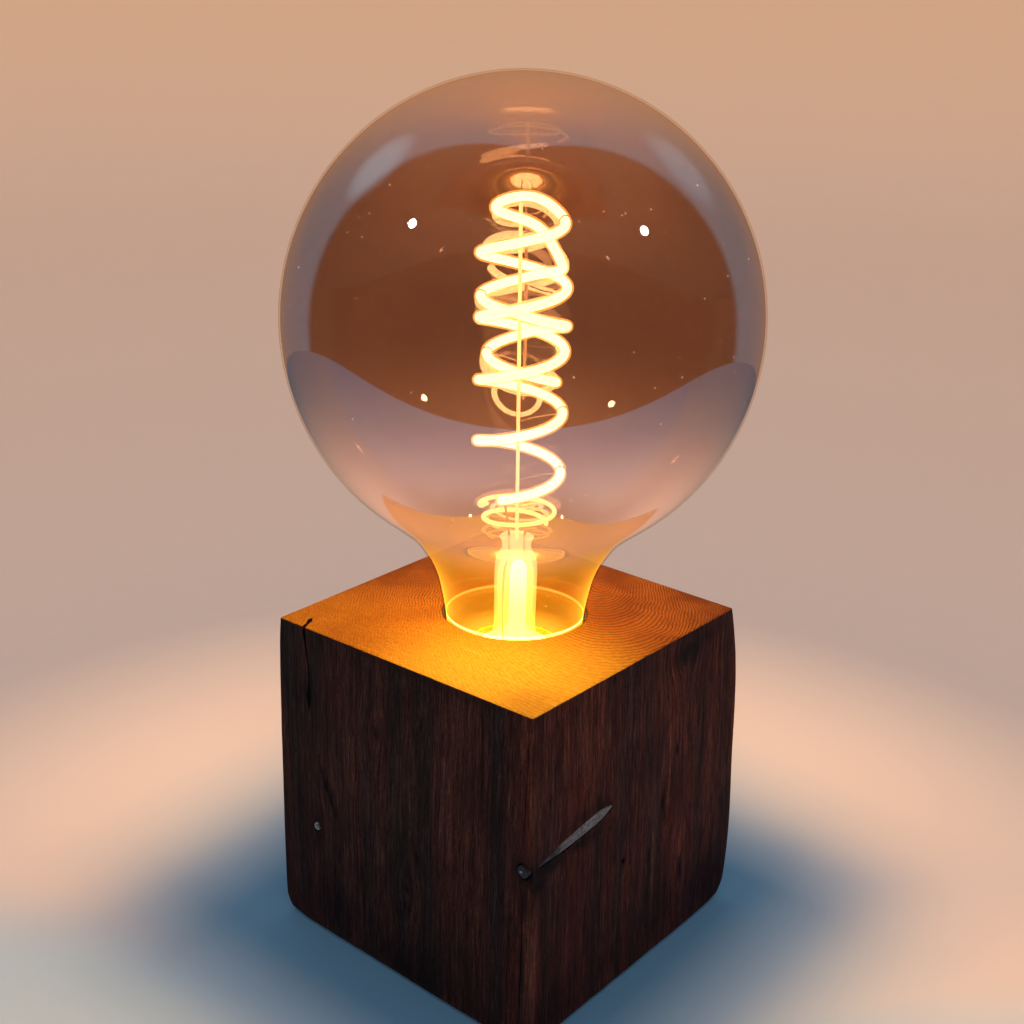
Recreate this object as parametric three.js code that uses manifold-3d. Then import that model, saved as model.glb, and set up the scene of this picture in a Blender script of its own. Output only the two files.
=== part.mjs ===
// Bare bulb table lamp. A block of old timber stands on its sawn end and hides a screw lampholder
// in a deep bore. A large smoked globe bulb with a wound filament stands in it, with no shade.
// Millimetres, +Z up. The origin is on the bulb's axis, on the surface that the lamp stands on.
import * as THREE from 'three';
import { mergeVertices } from 'three/addons/utils/BufferGeometryUtils.js';
import Module from 'manifold-3d';

const wasm = await Module();
wasm.setup();

// Clearance between pieces that touch
const gap = 0.3;

// Timber block: it leans and swells a little, as an old hewn beam does
const blockFoot = 0.8;
const blockTop = 93.7;
// The upright arrises, anticlockwise from the front left one: where each stands at its foot and
// at its top, and how far it swells out between them
const arrises = [
  { foot: [-45.3, -47.3], top: [-44.0, -47.5], swell: [-1.2, 0] },
  { foot: [46.0, -47.8], top: [44.5, -47.5], swell: [0, 0] },
  { foot: [48.3, 43.9], top: [44.5, 43.8], swell: [0, 4.2] },
  { foot: [-51.0, 50.4], top: [-50.7, 50.8], swell: [-0.5, 1.0] },
];
const arrisRound = 0.008;
const faceRight = 46;
const boreRadius = 20.05;
const boreFloor = 34;
const webBottom = 22;
const recessHalf = 20;
const rebateHalf = 33.4;
const rebateTop = 3.8;

// Nails left in the timber. The corner one runs up to the right face, and was planed flush with it.
const cornerNail = {
  head: [43.0, -47.9, 52.2],
  tip: [45.5, -14.0, 56.2],
  radius: 1.6,
  taper: 6,
  blunt: 0.3,
  headRadius: 1.9,
  headDepth: 1.3,
};
const sideNail = { x: -31.2, z: 33.7, radius: 1.2, front: -47.3, back: -29 };
const nailHole = { y: -8, z: 37, radius: 0.7, depth: 5 };

// Seasoning crack down the left face, from its top edge. It leans as it goes in.
const crack = { x: -33.4, bottom: 70, mouth: 0.9, depth: 5.5, lean: -3.6 };

// Underside
const plateHalf = 33;
const plateBottom = 2.0;
const plateThickness = 1.5;
const screwPlaces = [[-28, -10], [28, -10], [28, 10], [-28, 10]];
const screwRadius = 1.5;
const screwHeadRadius = 3.6;
const screwTip = 15;
const padPlaces = [[-26, -26], [26, -26], [26, 26], [-26, 26]];
const padRadius = 6;
const padThickness = 1.7;

// Cord inlet, in the middle of the back face
const inletHeight = 11;
const inletSeat = 47.4;
const grommetBore = 3.5;
const grommetSleeve = 4.6;
const grommetFlange = 6.8;
const grommetFront = 38;
const grommetBack = 49.4;

// Threaded nipple and its nuts
const nippleRadius = 4.95;
const nippleBore = 3.5;
const nippleBottom = 12.5;
const nippleTop = 46;
const nutRadius = 8.1;
const nutHeight = 3.2;
const washerRadius = 10;
const washerThickness = 1.0;

// Lampholder
const holderRadius = 19.3;
const holderBottom = boreFloor + gap;
const cupTop = 60;
const cupLedge = 50;
const cupLower = 15.5;
const cupUpper = 17.8;
const bossRadius = 8;
const bossTop = 42;
const skirtInner = 15.2;
const skirtBottom = 54.3;
const skirtTop = 84.7;
const skirtLip = 14.3;
const insertBottom = 50.3;
const insertTop = 57;
const insertShoulder = 54;
const insertHole = 4.4;
const terminalScrewTop = 54.5;
const rivetHole = 1.3;
const barTop = 50;
const barThickness = 1.0;
const barWidth = 7;
const liveScrewX = 10.5;
const neutralX = -10.2;
const neutralScrewY = -4.5;
const rivetY = 4.5;
const terminalScrewRadius = 1.5;
const plungerTop = 59.7;
const plungerHead = 57.6;
const plungerStem = 1.6;
const springRadius = 2.9;
const springWire = 0.3;
const springTurns = 5;

// Edison screw thread of the holder and the cap: pitch, and the crest's height over the middle
const threadPitch = 3.629;
const threadRise = 0.5;
const threadRows = 5;
const threadSides = 24;
const shellThreadRadius = 13.1;
const shellThreadFrom = 62.5;
const shellThreadSteps = 27;
const capThreadRadius = 12.6;
const capThreadFrom = 66;
const capThreadSteps = 22;
const capBottom = 65;
const capTop = 85.2;
const capInner = 11.6;
const bulbTip = 60;
const contactTop = bulbTip + 7;

// Small circuit inside the cap
const boardBottom = 77.2;
const boardTop = 78.5;
const boardRadius = 11.1;
const partTop = boardBottom - gap;
const capacitorRadius = 3.2;
const chokeRadius = 2.4;
const bridgeHeight = 2.4;
const driverWireRadius = 0.4;

// Globe
const globeRadius = 62.5;
const globeCentre = blockTop + 80.6;
const globeWall = 0.9;
const neckRadius = 11.3;
const neckBottom = 79;
const neckTop = 85;
const neckJoin = blockTop + 32;

// Stem, rod and filament, with heights above the block's top. They face the lamp's front corner.
const innerTurn = 39.5;
const stemRadius = 5.85;
const stemWall = 0.95;
const pinchRadius = 4.4;
const pinchTop = blockTop + 22.3;
const stemInsideTop = 110.2;
const flareTop = neckTop + 0.4;
const flareRadius = 10;
const leadRadius = 0.3;
const leadOffset = 2.2;
const rodRadius = 0.8;
const rodTop = blockTop + 110.7;
const rodLean = -1.2;
const filamentRadius = 1.0;
const filamentSides = 6;
const stepsPerTurn = 24;
const upRadius = 11.3;
const upStart = 40.7;
const upPitch = 16.5;
const upTurns = 4;
const downStart = 95;
const downPitch = 14.9;
const tailRadius = 0.6;
const supportRadius = 0.25;
// Each support wire: its height on the rod, and the place near the filament that it reaches
const supports = [
  { foot: 38.2, tip: [9.7, 0, 40.4] },
  { foot: 54.6, tip: [9.7, 0, 56.8] },
  { foot: 70.8, tip: [-7.6, 0, 72.4] },
  { foot: 86.6, tip: [-9.5, 0, 87.4] },
  { foot: 103.6, tip: [8.8, 0, 105.2] },
];

// Materials

function material(color, roughness, metalness = 0) {
  return new THREE.MeshStandardMaterial({ color, roughness, metalness });
}

const timber = () => material(0x4a2c1c, 0.75);
const rustedSteel = () => material(0x77706a, 0.55, 0.8);
const steel = () => material(0xb4b6b8, 0.35, 1);
const blackSteel = () => material(0x2b2b2d, 0.5, 0.4);
const brass = () => material(0xc9a24c, 0.3, 1);
const nickel = () => material(0xc9c7c0, 0.3, 1);
const felt = () => material(0x3b3b3d, 0.95);
const rubber = () => material(0x1d1d1f, 0.8);
const bakelite = () => material(0x1b1715, 0.4);
const porcelain = () => material(0xe9e6de, 0.35);
const plaster = () => material(0xe6dfd0, 0.9);
const circuit = () => material(0xe4e2d6, 0.6);

function glass(color, opacity) {
  const clear = material(color, 0.05);
  clear.transparent = true;
  clear.opacity = opacity;
  return clear;
}

function glowing(color) {
  const lit = material(color, 0.5);
  lit.emissive = new THREE.Color(color);
  return lit;
}

// Turns about the Z axis: a profile of [radius, height] points runs up the outside of the piece
function lathe(profile, sides = 20) {
  const points = profile.map(([radius, height]) => new THREE.Vector2(radius, height));
  return new THREE.LatheGeometry(points, sides).rotateX(Math.PI / 2);
}

// A ring with its own inside: the profile closes on itself
function ring(profile, sides = 20) {
  return lathe([...profile, profile[0]], sides);
}

function disc(radius, bottom, top, sides = 20) {
  return lathe([[0, bottom], [radius, bottom], [radius, top], [0, top]], sides);
}

function washer(inner, outer, bottom, top, sides = 16) {
  return ring([[inner, bottom], [outer, bottom], [outer, top], [inner, top]], sides);
}

function block(x, y, bottom, width, depth, height) {
  return new THREE.BoxGeometry(width, depth, height).translate(x, y, bottom + height / 2);
}

// A tube with flat ends along a curve or a list of points
function tube(points, radius, sides, steps = points.length - 1) {
  const path = new THREE.CatmullRomCurve3(points);
  path.arcLengthDivisions = steps * 8;
  const section = new THREE.Shape();
  for (let i = 0; i < sides; i++) {
    const angle = (i / sides) * 2 * Math.PI;
    const corner = [radius * Math.cos(angle), radius * Math.sin(angle)];
    if (i === 0) section.moveTo(...corner);
    else section.lineTo(...corner);
  }
  return new THREE.ExtrudeGeometry(section, { steps, extrudePath: path });
}

function straight(from, to, radius, sides = 6) {
  return tube([new THREE.Vector3(...from), new THREE.Vector3(...to)], radius, sides);
}

// Joins and cuts closed pieces
function toSolid(geometry) {
  const bare = geometry.clone();
  bare.deleteAttribute('normal');
  bare.deleteAttribute('uv');
  const merged = mergeVertices(bare, 1e-4);
  return new wasm.Manifold(new wasm.Mesh({
    numProp: 3,
    vertProperties: merged.attributes.position.array,
    triVerts: new Uint32Array(merged.index.array),
  }));
}

function toGeometry(solid) {
  const mesh = solid.getMesh();
  const geometry = new THREE.BufferGeometry();
  geometry.setAttribute('position', new THREE.BufferAttribute(mesh.vertProperties, 3));
  geometry.setIndex(new THREE.BufferAttribute(mesh.triVerts, 1));
  geometry.computeVertexNormals();
  return geometry;
}

function cut(geometry, ...tools) {
  const left = tools.reduce((solid, tool) => solid.subtract(toSolid(tool)), toSolid(geometry));
  return toGeometry(left);
}

function place(group, name, geometry, finish) {
  const mesh = new THREE.Mesh(geometry, finish);
  mesh.name = name;
  group.add(mesh);
}

// Beam block

// How much of its swelling the block has at a share of its height: none at the ends
function swelling(share) {
  return 1 - (2 * share - 1) ** 4;
}

function arrisAt(arris, share) {
  return [0, 1].map((axis) => (
    THREE.MathUtils.lerp(arris.foot[axis], arris.top[axis], share)
    + arris.swell[axis] * swelling(share)
  ));
}

// A point of the block from its place across, along and up it, each from 0 to 1
function blockPoint(across, along, share) {
  const [frontLeft, frontRight, backRight, backLeft] = arrises.map((a) => arrisAt(a, share));
  const [x, y] = [0, 1].map((axis) => THREE.MathUtils.lerp(
    THREE.MathUtils.lerp(frontLeft[axis], frontRight[axis], across),
    THREE.MathUtils.lerp(backLeft[axis], backRight[axis], across),
    along,
  ));
  return [x, y, THREE.MathUtils.lerp(blockFoot, blockTop, share)];
}

function hewnBlock() {
  const section = new THREE.Shape();
  section.absarc(arrisRound, arrisRound, arrisRound, Math.PI, 1.5 * Math.PI);
  section.absarc(1 - arrisRound, arrisRound, arrisRound, 1.5 * Math.PI, 2 * Math.PI);
  section.absarc(1 - arrisRound, 1 - arrisRound, arrisRound, 0, 0.5 * Math.PI);
  section.absarc(arrisRound, 1 - arrisRound, arrisRound, 0.5 * Math.PI, Math.PI);
  const geometry = new THREE.ExtrudeGeometry(section, {
    depth: 1, steps: 10, curveSegments: 2, bevelEnabled: false,
  });
  const position = geometry.attributes.position;
  for (let i = 0; i < position.count; i++) {
    position.setXYZ(i, ...blockPoint(position.getX(i), position.getY(i), position.getZ(i)));
  }
  return geometry;
}

// The corner nail's shank, let out on every side by a clearance
function nailShank(clearance) {
  const { head, tip, radius, taper, blunt } = cornerNail;
  const from = new THREE.Vector3(...head);
  const along = new THREE.Vector3(...tip).sub(from);
  const length = along.length();
  const shank = lathe([
    [0, 0],
    [radius + clearance, 0],
    [radius + clearance, length - taper],
    [blunt + clearance, length + clearance],
    [0, length + clearance],
  ], 12);
  const turn = new THREE.Quaternion().setFromUnitVectors(
    new THREE.Vector3(0, 0, 1), along.normalize());
  return shank.applyQuaternion(turn).translate(...head);
}

// A disc that lies across Y, from one y to another
function discAlongY(x, z, radius, from, to, sides = 16) {
  return disc(radius, 0, to - from, sides).rotateX(-Math.PI / 2).translate(x, from, z);
}

function nailPockets() {
  const [headX, headY, headZ] = cornerNail.head;
  const headPocket = cornerNail.headRadius + 2 * gap;
  const clear = sideNail.radius + gap;
  const emptyHole = disc(nailHole.radius, 0, nailHole.depth + 5, 8).rotateY(Math.PI / 2)
    .translate(faceRight - nailHole.depth, nailHole.y, nailHole.z);
  return [
    nailShank(gap),
    discAlongY(headX, headZ, headPocket, headY - 2, headY + cornerNail.headDepth + gap),
    discAlongY(sideNail.x, sideNail.z, clear, sideNail.front - 2, sideNail.back + gap),
    emptyHole,
  ];
}

function crackWedge() {
  const face = arrises[0].top[1] - 1;
  const wedge = new THREE.Shape();
  wedge.moveTo(crack.x - crack.mouth / 2, face);
  wedge.lineTo(crack.x + crack.mouth / 2, face);
  wedge.lineTo(crack.x + crack.lean, face + 1 + crack.depth);
  return new THREE.ExtrudeGeometry(wedge, { depth: blockTop - crack.bottom + 1, bevelEnabled: false })
    .translate(0, 0, crack.bottom);
}

function beamBlock() {
  const below = blockFoot - 1;
  const rebate = 2 * rebateHalf;
  const recess = 2 * recessHalf;
  const pilots = screwPlaces.map(([x, y]) => (
    disc(screwRadius + gap, below, screwTip + gap, 12).translate(x, y, 0)));
  const inlet = discAlongY(0, inletHeight, grommetSleeve + gap, recessHalf - 2, 60, 20);
  const inletSpot = discAlongY(0, inletHeight, grommetFlange + gap + 0.1, inletSeat, 60, 20);
  return cut(
    hewnBlock(),
    disc(boreRadius, boreFloor, blockTop + 1, 48),
    disc(nippleRadius + gap + 0.05, webBottom - 1, boreFloor + 1),
    block(0, 0, below, recess, recess, webBottom - below),
    block(0, 0, below, rebate, rebate, rebateTop - below),
    inlet,
    inletSpot,
    crackWedge(),
    ...pilots,
    ...nailPockets(),
  );
}

function planedNail() {
  const [headX, headY, headZ] = cornerNail.head;
  const head = discAlongY(
    headX, headZ, cornerNail.headRadius, headY, headY + cornerNail.headDepth);
  const shank = toSolid(nailShank(0)).intersect(toSolid(hewnBlock()));
  return toGeometry(shank.add(toSolid(head)));
}

function sideNailStub() {
  return discAlongY(sideNail.x, sideNail.z, sideNail.radius, sideNail.front, sideNail.back, 10);
}

// Underside

function basePlate() {
  const side = 2 * plateHalf;
  const top = plateBottom + plateThickness;
  const holes = screwPlaces.map(([x, y]) => countersunk(gap, plateBottom - 1, top + 1)
    .translate(x, y, 0));
  return cut(block(0, 0, plateBottom, side, side, plateThickness), ...holes);
}

// The outline of a countersunk screw, let out on every side by a clearance
function countersunk(clearance, bottom, top) {
  const head = screwHeadRadius + clearance * 1.4;
  const cone = screwHeadRadius - screwRadius;
  return lathe([
    [0, bottom],
    [head, bottom],
    [head, plateBottom],
    [screwRadius + clearance, plateBottom + cone * 0.6],
    [screwRadius + clearance, top],
    [0, top],
  ], 12);
}

function baseScrew() {
  const slot = block(0, 0, plateBottom - 0.2, 2 * screwHeadRadius + 1, 0.9, 0.7);
  const body = lathe([
    [0, plateBottom],
    [screwHeadRadius, plateBottom],
    [screwRadius, plateBottom + (screwHeadRadius - screwRadius) * 0.6],
    [screwRadius, screwTip - 3],
    [0, screwTip],
  ], 12);
  return cut(body, slot);
}

function cordGrommet() {
  const profile = [
    [grommetBore, grommetFront],
    [grommetSleeve, grommetFront],
    [grommetSleeve, inletSeat + gap],
    [grommetFlange, inletSeat + gap],
    [grommetFlange, grommetBack - 0.6],
    [grommetFlange - 0.8, grommetBack],
    [grommetBore + 0.5, grommetBack],
    [grommetBore, grommetBack - 0.5],
  ];
  return ring(profile, 20).rotateX(-Math.PI / 2).translate(0, 0, inletHeight);
}

function hexNut(bottom) {
  const outline = new THREE.Shape();
  for (let i = 0; i < 6; i++) {
    const angle = (i / 6) * 2 * Math.PI;
    const corner = [nutRadius * Math.cos(angle), nutRadius * Math.sin(angle)];
    if (i === 0) outline.moveTo(...corner);
    else outline.lineTo(...corner);
  }
  const hole = new THREE.Path().absarc(0, 0, nippleRadius + gap, 0, 2 * Math.PI, true);
  outline.holes.push(hole);
  return new THREE.ExtrudeGeometry(outline, {
    depth: nutHeight, bevelEnabled: false, curveSegments: 16,
  }).translate(0, 0, bottom);
}

// Lampholder

function holderCup() {
  const hole = nippleRadius + gap + 0.05;
  return ring([
    [hole, holderBottom],
    [holderRadius - 0.7, holderBottom],
    [holderRadius, holderBottom + 0.7],
    [holderRadius, cupTop],
    [cupUpper, cupTop],
    [cupUpper, cupLedge],
    [cupLower, cupLedge],
    [cupLower, holderBottom + 4],
    [bossRadius, holderBottom + 4],
    [bossRadius, bossTop],
    [hole, bossTop],
  ], 32);
}

function holderSkirt() {
  const spigot = cupUpper - gap;
  const lipBottom = skirtTop - 1.1;
  return ring([
    [skirtInner, skirtBottom],
    [spigot, skirtBottom],
    [spigot, cupTop + gap],
    [holderRadius, cupTop + gap],
    [holderRadius, skirtTop - 0.7],
    [holderRadius - 0.7, skirtTop],
    [skirtLip, skirtTop],
    [skirtLip, lipBottom],
    [skirtInner, lipBottom],
  ], 32);
}

// The ceramic core, with a middle hole for the plunger and three holes for screws and the rivet
function holderInsert() {
  const lower = cupUpper - gap - 0.1;
  const upper = skirtInner - gap - 0.2;
  const body = ring([
    [insertHole, insertBottom],
    [lower, insertBottom],
    [lower, insertShoulder],
    [upper, insertShoulder],
    [upper, insertTop],
    [insertHole, insertTop],
  ], 32);
  const screwHole = terminalScrewRadius + gap;
  const blind = (x, y) => disc(screwHole, insertBottom - 1, terminalScrewTop + gap + 0.2, 12)
    .translate(x, y, 0);
  const through = disc(rivetHole, insertBottom - 1, insertTop + 1, 12)
    .translate(neutralX, rivetY, 0);
  return cut(body, blind(liveScrewX, 0), blind(neutralX, neutralScrewY), through);
}

function terminalHole(x, y, radius = terminalScrewRadius + gap) {
  return disc(radius, barTop - barThickness - 1, barTop + 1, 12).translate(x, y, 0);
}

function liveTerminal() {
  const bar = block(4, 0, barTop - barThickness, 19, barWidth, barThickness);
  return cut(bar, terminalHole(0, 0, plungerStem + gap), terminalHole(liveScrewX, 0));
}

function neutralTerminal() {
  const bar = block(neutralX, 0, barTop - barThickness, 5.4, 15, barThickness);
  return cut(bar, terminalHole(neutralX, neutralScrewY), terminalHole(neutralX, rivetY, rivetHole));
}

function terminalScrew() {
  const head = barTop - barThickness - gap;
  const body = lathe([
    [0, head - 1.8],
    [2.5, head - 1.8],
    [2.5, head],
    [terminalScrewRadius, head],
    [terminalScrewRadius, terminalScrewTop],
    [0, terminalScrewTop],
  ], 12);
  return cut(body, block(0, 0, head - 2, 6, 0.8, 0.8));
}

function shellRivet() {
  const head = barTop - barThickness - gap;
  const flange = insertTop + 2 * gap + 0.5;
  return lathe([
    [0, head - 0.8],
    [1.9, head - 0.8],
    [1.9, head],
    [1.0, head],
    [1.0, flange + gap],
    [1.9, flange + gap],
    [1.9, flange + gap + 0.7],
    [0, flange + gap + 0.7],
  ], 10);
}

function contactPlunger() {
  const stop = barTop - barThickness - gap;
  return lathe([
    [0, stop - 1],
    [3.0, stop - 1],
    [3.0, stop],
    [plungerStem, stop],
    [plungerStem, plungerHead],
    [3.9, plungerHead],
    [3.9, plungerTop - 0.5],
    [2.6, plungerTop],
    [0, plungerTop],
  ], 16);
}

// A coil's points: steady turns, then a straight end one wire thick at each end
function coilPoints(radius, wire, turns, from, to, steps) {
  const end = 2 * wire;
  const points = [new THREE.Vector3(radius, 0, from)];
  for (let i = 0; i <= turns * steps; i++) {
    const share = i / (turns * steps);
    const angle = share * turns * 2 * Math.PI;
    const height = THREE.MathUtils.lerp(from + end, to - end, share);
    points.push(new THREE.Vector3(radius * Math.cos(angle), radius * Math.sin(angle), height));
  }
  points.push(new THREE.Vector3(radius, 0, to));
  return points;
}

// Presses the round screw thread into the vertices of a lathed wall between two heights
function pressThread(geometry, radius, from, steps) {
  const rowHeight = threadPitch / threadRows;
  const to = from + steps * rowHeight;
  const position = geometry.attributes.position;
  for (let i = 0; i < position.count; i++) {
    const [x, y, z] = [position.getX(i), position.getY(i), position.getZ(i)];
    const onWall = Math.abs(Math.hypot(x, y) - radius) < 0.01;
    if (!onWall || z < from - 0.01 || z > to + 0.01) continue;
    const phase = 2 * Math.PI * (z / threadPitch) - Math.atan2(y, x);
    const scale = (radius + threadRise * Math.cos(phase)) / radius;
    position.setXY(i, x * scale, y * scale);
  }
  return geometry;
}

function threadWall(radius, from, steps) {
  const rowHeight = threadPitch / threadRows;
  return Array.from({ length: steps + 1 }, (_, i) => [radius, from + i * rowHeight]);
}

function screwShell() {
  const wall = threadWall(shellThreadRadius, shellThreadFrom, shellThreadSteps);
  const top = wall.at(-1)[1];
  const outer = shellThreadRadius + 1.05;
  const floor = insertTop + gap;
  const lipTop = skirtTop - 1.1 - gap;
  const shell = ring([
    [8.5, floor],
    [outer, floor],
    [outer, top],
    [outer + 0.4, top + 0.8],
    [outer + 0.4, lipTop],
    [outer - 0.1, lipTop],
    [outer - 0.15, top + 0.6],
    ...wall.reverse(),
    [outer - 0.5, shellThreadFrom - 0.6],
    [outer - 0.5, floor + 0.5],
    [8.5, floor + 0.5],
  ], threadSides);
  const threaded = pressThread(shell, shellThreadRadius, shellThreadFrom, shellThreadSteps);
  return cut(threaded, disc(rivetHole, floor - 1, floor + 1, 10).translate(neutralX, rivetY, 0));
}

// Bulb cap

function capShell() {
  const wall = threadWall(capThreadRadius, capThreadFrom, capThreadSteps);
  const top = wall.at(-1)[1];
  const shell = ring([
    [11.2, capBottom],
    [12.0, capBottom + 0.2],
    ...wall,
    [12.95, top + 0.6],
    [13.2, capTop - 0.3],
    [13.2, capTop],
    [12.8, capTop],
    [12.5, top + 0.9],
    [capInner, top + 0.2],
    [capInner, capBottom + 1.2],
    [11.2, capBottom + 0.8],
  ], threadSides);
  return pressThread(shell, capThreadRadius, capThreadFrom, capThreadSteps);
}

function capContact() {
  const back = bulbTip + 1.2;
  return lathe([
    [0, bulbTip], [2.5, bulbTip + 0.1], [4.3, bulbTip + 0.7], [4.5, back],
    [2.2, back], [2.2, contactTop], [0, contactTop],
  ], 16);
}

function capInsulator() {
  return ring([
    [2.5, bulbTip + 1.5],
    [5.5, bulbTip + 1.5],
    [10.7, bulbTip + 4.2],
    [10.9, bulbTip + 5],
    [10.9, bulbTip + 6.8],
    [2.5, bulbTip + 6.8],
  ], 24);
}

// Wires from the circuit inside the cap to the cap's two contacts
function driverWireLive() {
  return straight([0, 0, contactTop + gap], [0, 0, partTop], driverWireRadius);
}

function driverWireShell() {
  return tube([
    new THREE.Vector3(8.5, -3, partTop),
    new THREE.Vector3(8.8, -3, partTop - 2.9),
    new THREE.Vector3(10.6, -2.4, partTop - 5.9),
    new THREE.Vector3(10.7, -2.2, partTop - 8.4),
  ], driverWireRadius, 6, 6);
}

// Globe

// The bulb's outline from the cap up to the top: the neck is a spline that runs into the sphere
function globeOutline() {
  const start = Math.asin((neckJoin - globeCentre) / globeRadius);
  const sphere = (angle) => new THREE.Vector2(
    globeRadius * Math.cos(angle), globeCentre + globeRadius * Math.sin(angle));
  const neck = new THREE.SplineCurve([
    [neckRadius, neckTop],
    [13.5, 86.1],
    [17.5, 89.6],
    [19.4, blockTop],
    [20.6, blockTop + 6],
    [22.2, blockTop + 12],
    [25.0, blockTop + 18],
    [29.4, blockTop + 24],
  ].map((p) => new THREE.Vector2(...p)).concat([sphere(start), sphere(start + 0.08)]));
  const neckPoints = neck.getPoints(14).slice(0, -2);
  const sweep = (from, to, steps) => Array.from({ length: steps }, (_, i) => (
    sphere(THREE.MathUtils.lerp(from, to, i / steps))));
  const top = sphere(Math.PI / 2);
  return [...neckPoints, ...sweep(start, 0, 5), ...sweep(0, Math.PI / 2, 8), top];
}

// The same outline moved inwards by the wall, square to itself
function insideOf(outline, wall) {
  const last = outline.length - 1;
  return outline.map((point, i) => {
    if (i === last) return new THREE.Vector2(0, point.y - wall);
    const along = outline[i + 1].clone().sub(outline[Math.max(i - 1, 0)]).normalize();
    return new THREE.Vector2(point.x - along.y * wall, point.y + along.x * wall);
  });
}

function glassGlobe() {
  const outer = globeOutline();
  outer.at(-1).x = 0;
  const inner = insideOf(outer, globeWall).slice(1);
  inner.at(-1).x = 0;
  const profile = [
    ...inner.map((p) => [p.x, p.y]).reverse(),
    [neckRadius - globeWall, neckTop - 0.4],
    [neckRadius - globeWall, neckBottom],
    [neckRadius, neckBottom],
    ...outer.map((p) => [p.x, p.y]),
  ];
  return lathe(profile, 36);
}

// Stem: a flared tube, closed by the pinch, with a tunnel for each lead wire
function stemGlass() {
  const inner = stemRadius - stemWall;
  const flareBottom = neckBottom + 0.5;
  const body = lathe([
    [0, stemInsideTop],
    [inner - 1.4, stemInsideTop - 0.8],
    [inner, stemInsideTop - 2.8],
    [inner, flareTop - 0.4],
    [inner + 1.2, flareTop - 3.4],
    [flareRadius - 0.8, flareBottom],
    [flareRadius, flareBottom],
    [stemRadius + 1.2, flareTop - 3],
    [stemRadius, flareTop],
    [stemRadius, blockTop + 14.6],
    [stemRadius - 0.5, blockTop + 16.6],
    [pinchRadius, blockTop + 18.2],
    [pinchRadius - 0.2, pinchTop - 0.8],
    [pinchRadius + 0.3, pinchTop - 0.3],
    [pinchRadius, pinchTop],
    [0, pinchTop],
  ], 24);
  const tunnel = (x) => disc(leadRadius + gap, stemInsideTop - 4.2, pinchTop + 1, 8).translate(x, 0, 0);
  return cut(body, tunnel(leadOffset), tunnel(-leadOffset));
}

function rodX(height) {
  const foot = pinchTop + gap;
  return rodLean * ((height - foot) / (rodTop - foot));
}

// Filament: each control is [turns, radius, height above the block]. It climbs round the rod,
// turns over at the top and comes down again the same way round, passing inside itself at the
// front and back.
function filamentControls() {
  const controls = [[-0.32, 10.4, 35.2], [-0.15, 11.1, 38.2]];
  for (let quarter = 0; quarter <= upTurns * 4; quarter++) {
    const turns = quarter / 4;
    controls.push([turns, upRadius, upStart + upPitch * turns]);
  }
  controls.at(-1)[1] = 10.2;
  controls.push([4.25, 8.2, 112.2], [4.5, 7.6, 109.8], [4.75, 7.8, 107.4]);
  const sideRadii = [9.9, 11.1, 11.6, 9.2, 9.3];
  for (let quarter = 0; quarter <= 8; quarter++) {
    const turns = quarter / 4;
    const radius = quarter % 2 ? 8.1 : sideRadii[quarter / 2];
    controls.push([5 + turns, radius, downStart - downPitch * turns]);
  }
  return controls;
}

// The dim tail drops from the filament's foot and winds inwards to the pinch
function tailControls() {
  const controls = [[-0.4, 10.3, 33.2]];
  for (let quarter = 0; quarter <= 6; quarter++) {
    const turns = quarter / 4;
    controls.push([-0.5 - turns, 10.4 - 1.1 * turns ** 2, 31.2 - 3.6 * turns]);
  }
  return controls;
}

// Points on the winding, evenly by turn, with its ends run out straight
function windingPoints(controls, thickness) {
  const smooth = new THREE.CatmullRomCurve3(controls.map((c) => new THREE.Vector3(...c)));
  const turns = Math.abs(controls.at(-1)[0] - controls[0][0]);
  const steps = Math.round(turns * stepsPerTurn);
  const points = smooth.getSpacedPoints(steps).map(({ x, y, z }) => new THREE.Vector3(
    y * Math.cos(x * 2 * Math.PI), y * Math.sin(x * 2 * Math.PI), blockTop + z));
  const runOut = (end, next) => end.clone().add(end.clone().sub(next).setLength(thickness));
  points.unshift(runOut(points[0], points[1]));
  points.push(runOut(points.at(-1), points.at(-2)));
  return points;
}

// The least clear distance between two stretches of one winding
function leastGap(points, thickness) {
  let least = Infinity;
  for (let i = 0; i < points.length; i++) {
    let along = 0;
    for (let j = i + 1; j < points.length; j++) {
      along += points[j].distanceTo(points[j - 1]);
      if (along > 4 * thickness) least = Math.min(least, points[i].distanceTo(points[j]));
    }
  }
  return least - thickness;
}

function report(name, points, thickness) {
  console.log(`${name}: least gap to itself ${leastGap(points, thickness).toFixed(2)} mm`);
}

function supportWire({ foot, tip }) {
  const height = blockTop + foot;
  const side = Math.sign(tip[0]);
  const start = [rodX(height) + side * (rodRadius + gap), 0, height];
  return straight(start, [tip[0], tip[1], blockTop + tip[2]], supportRadius, 5);
}

function leadWire(side, upper) {
  const x = side * leadOffset;
  const points = [
    new THREE.Vector3(x, 0, boardTop + gap),
    new THREE.Vector3(x, 0, blockTop + 1.3),
    new THREE.Vector3(x, 0, stemInsideTop - 1.2),
    new THREE.Vector3(x, 0, pinchTop + 0.8),
    ...upper.map((p) => new THREE.Vector3(p[0], p[1], blockTop + p[2])),
  ];
  return tube(points, leadRadius, 6, 12);
}

// Assembly

const lamp = new THREE.Group();

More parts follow.
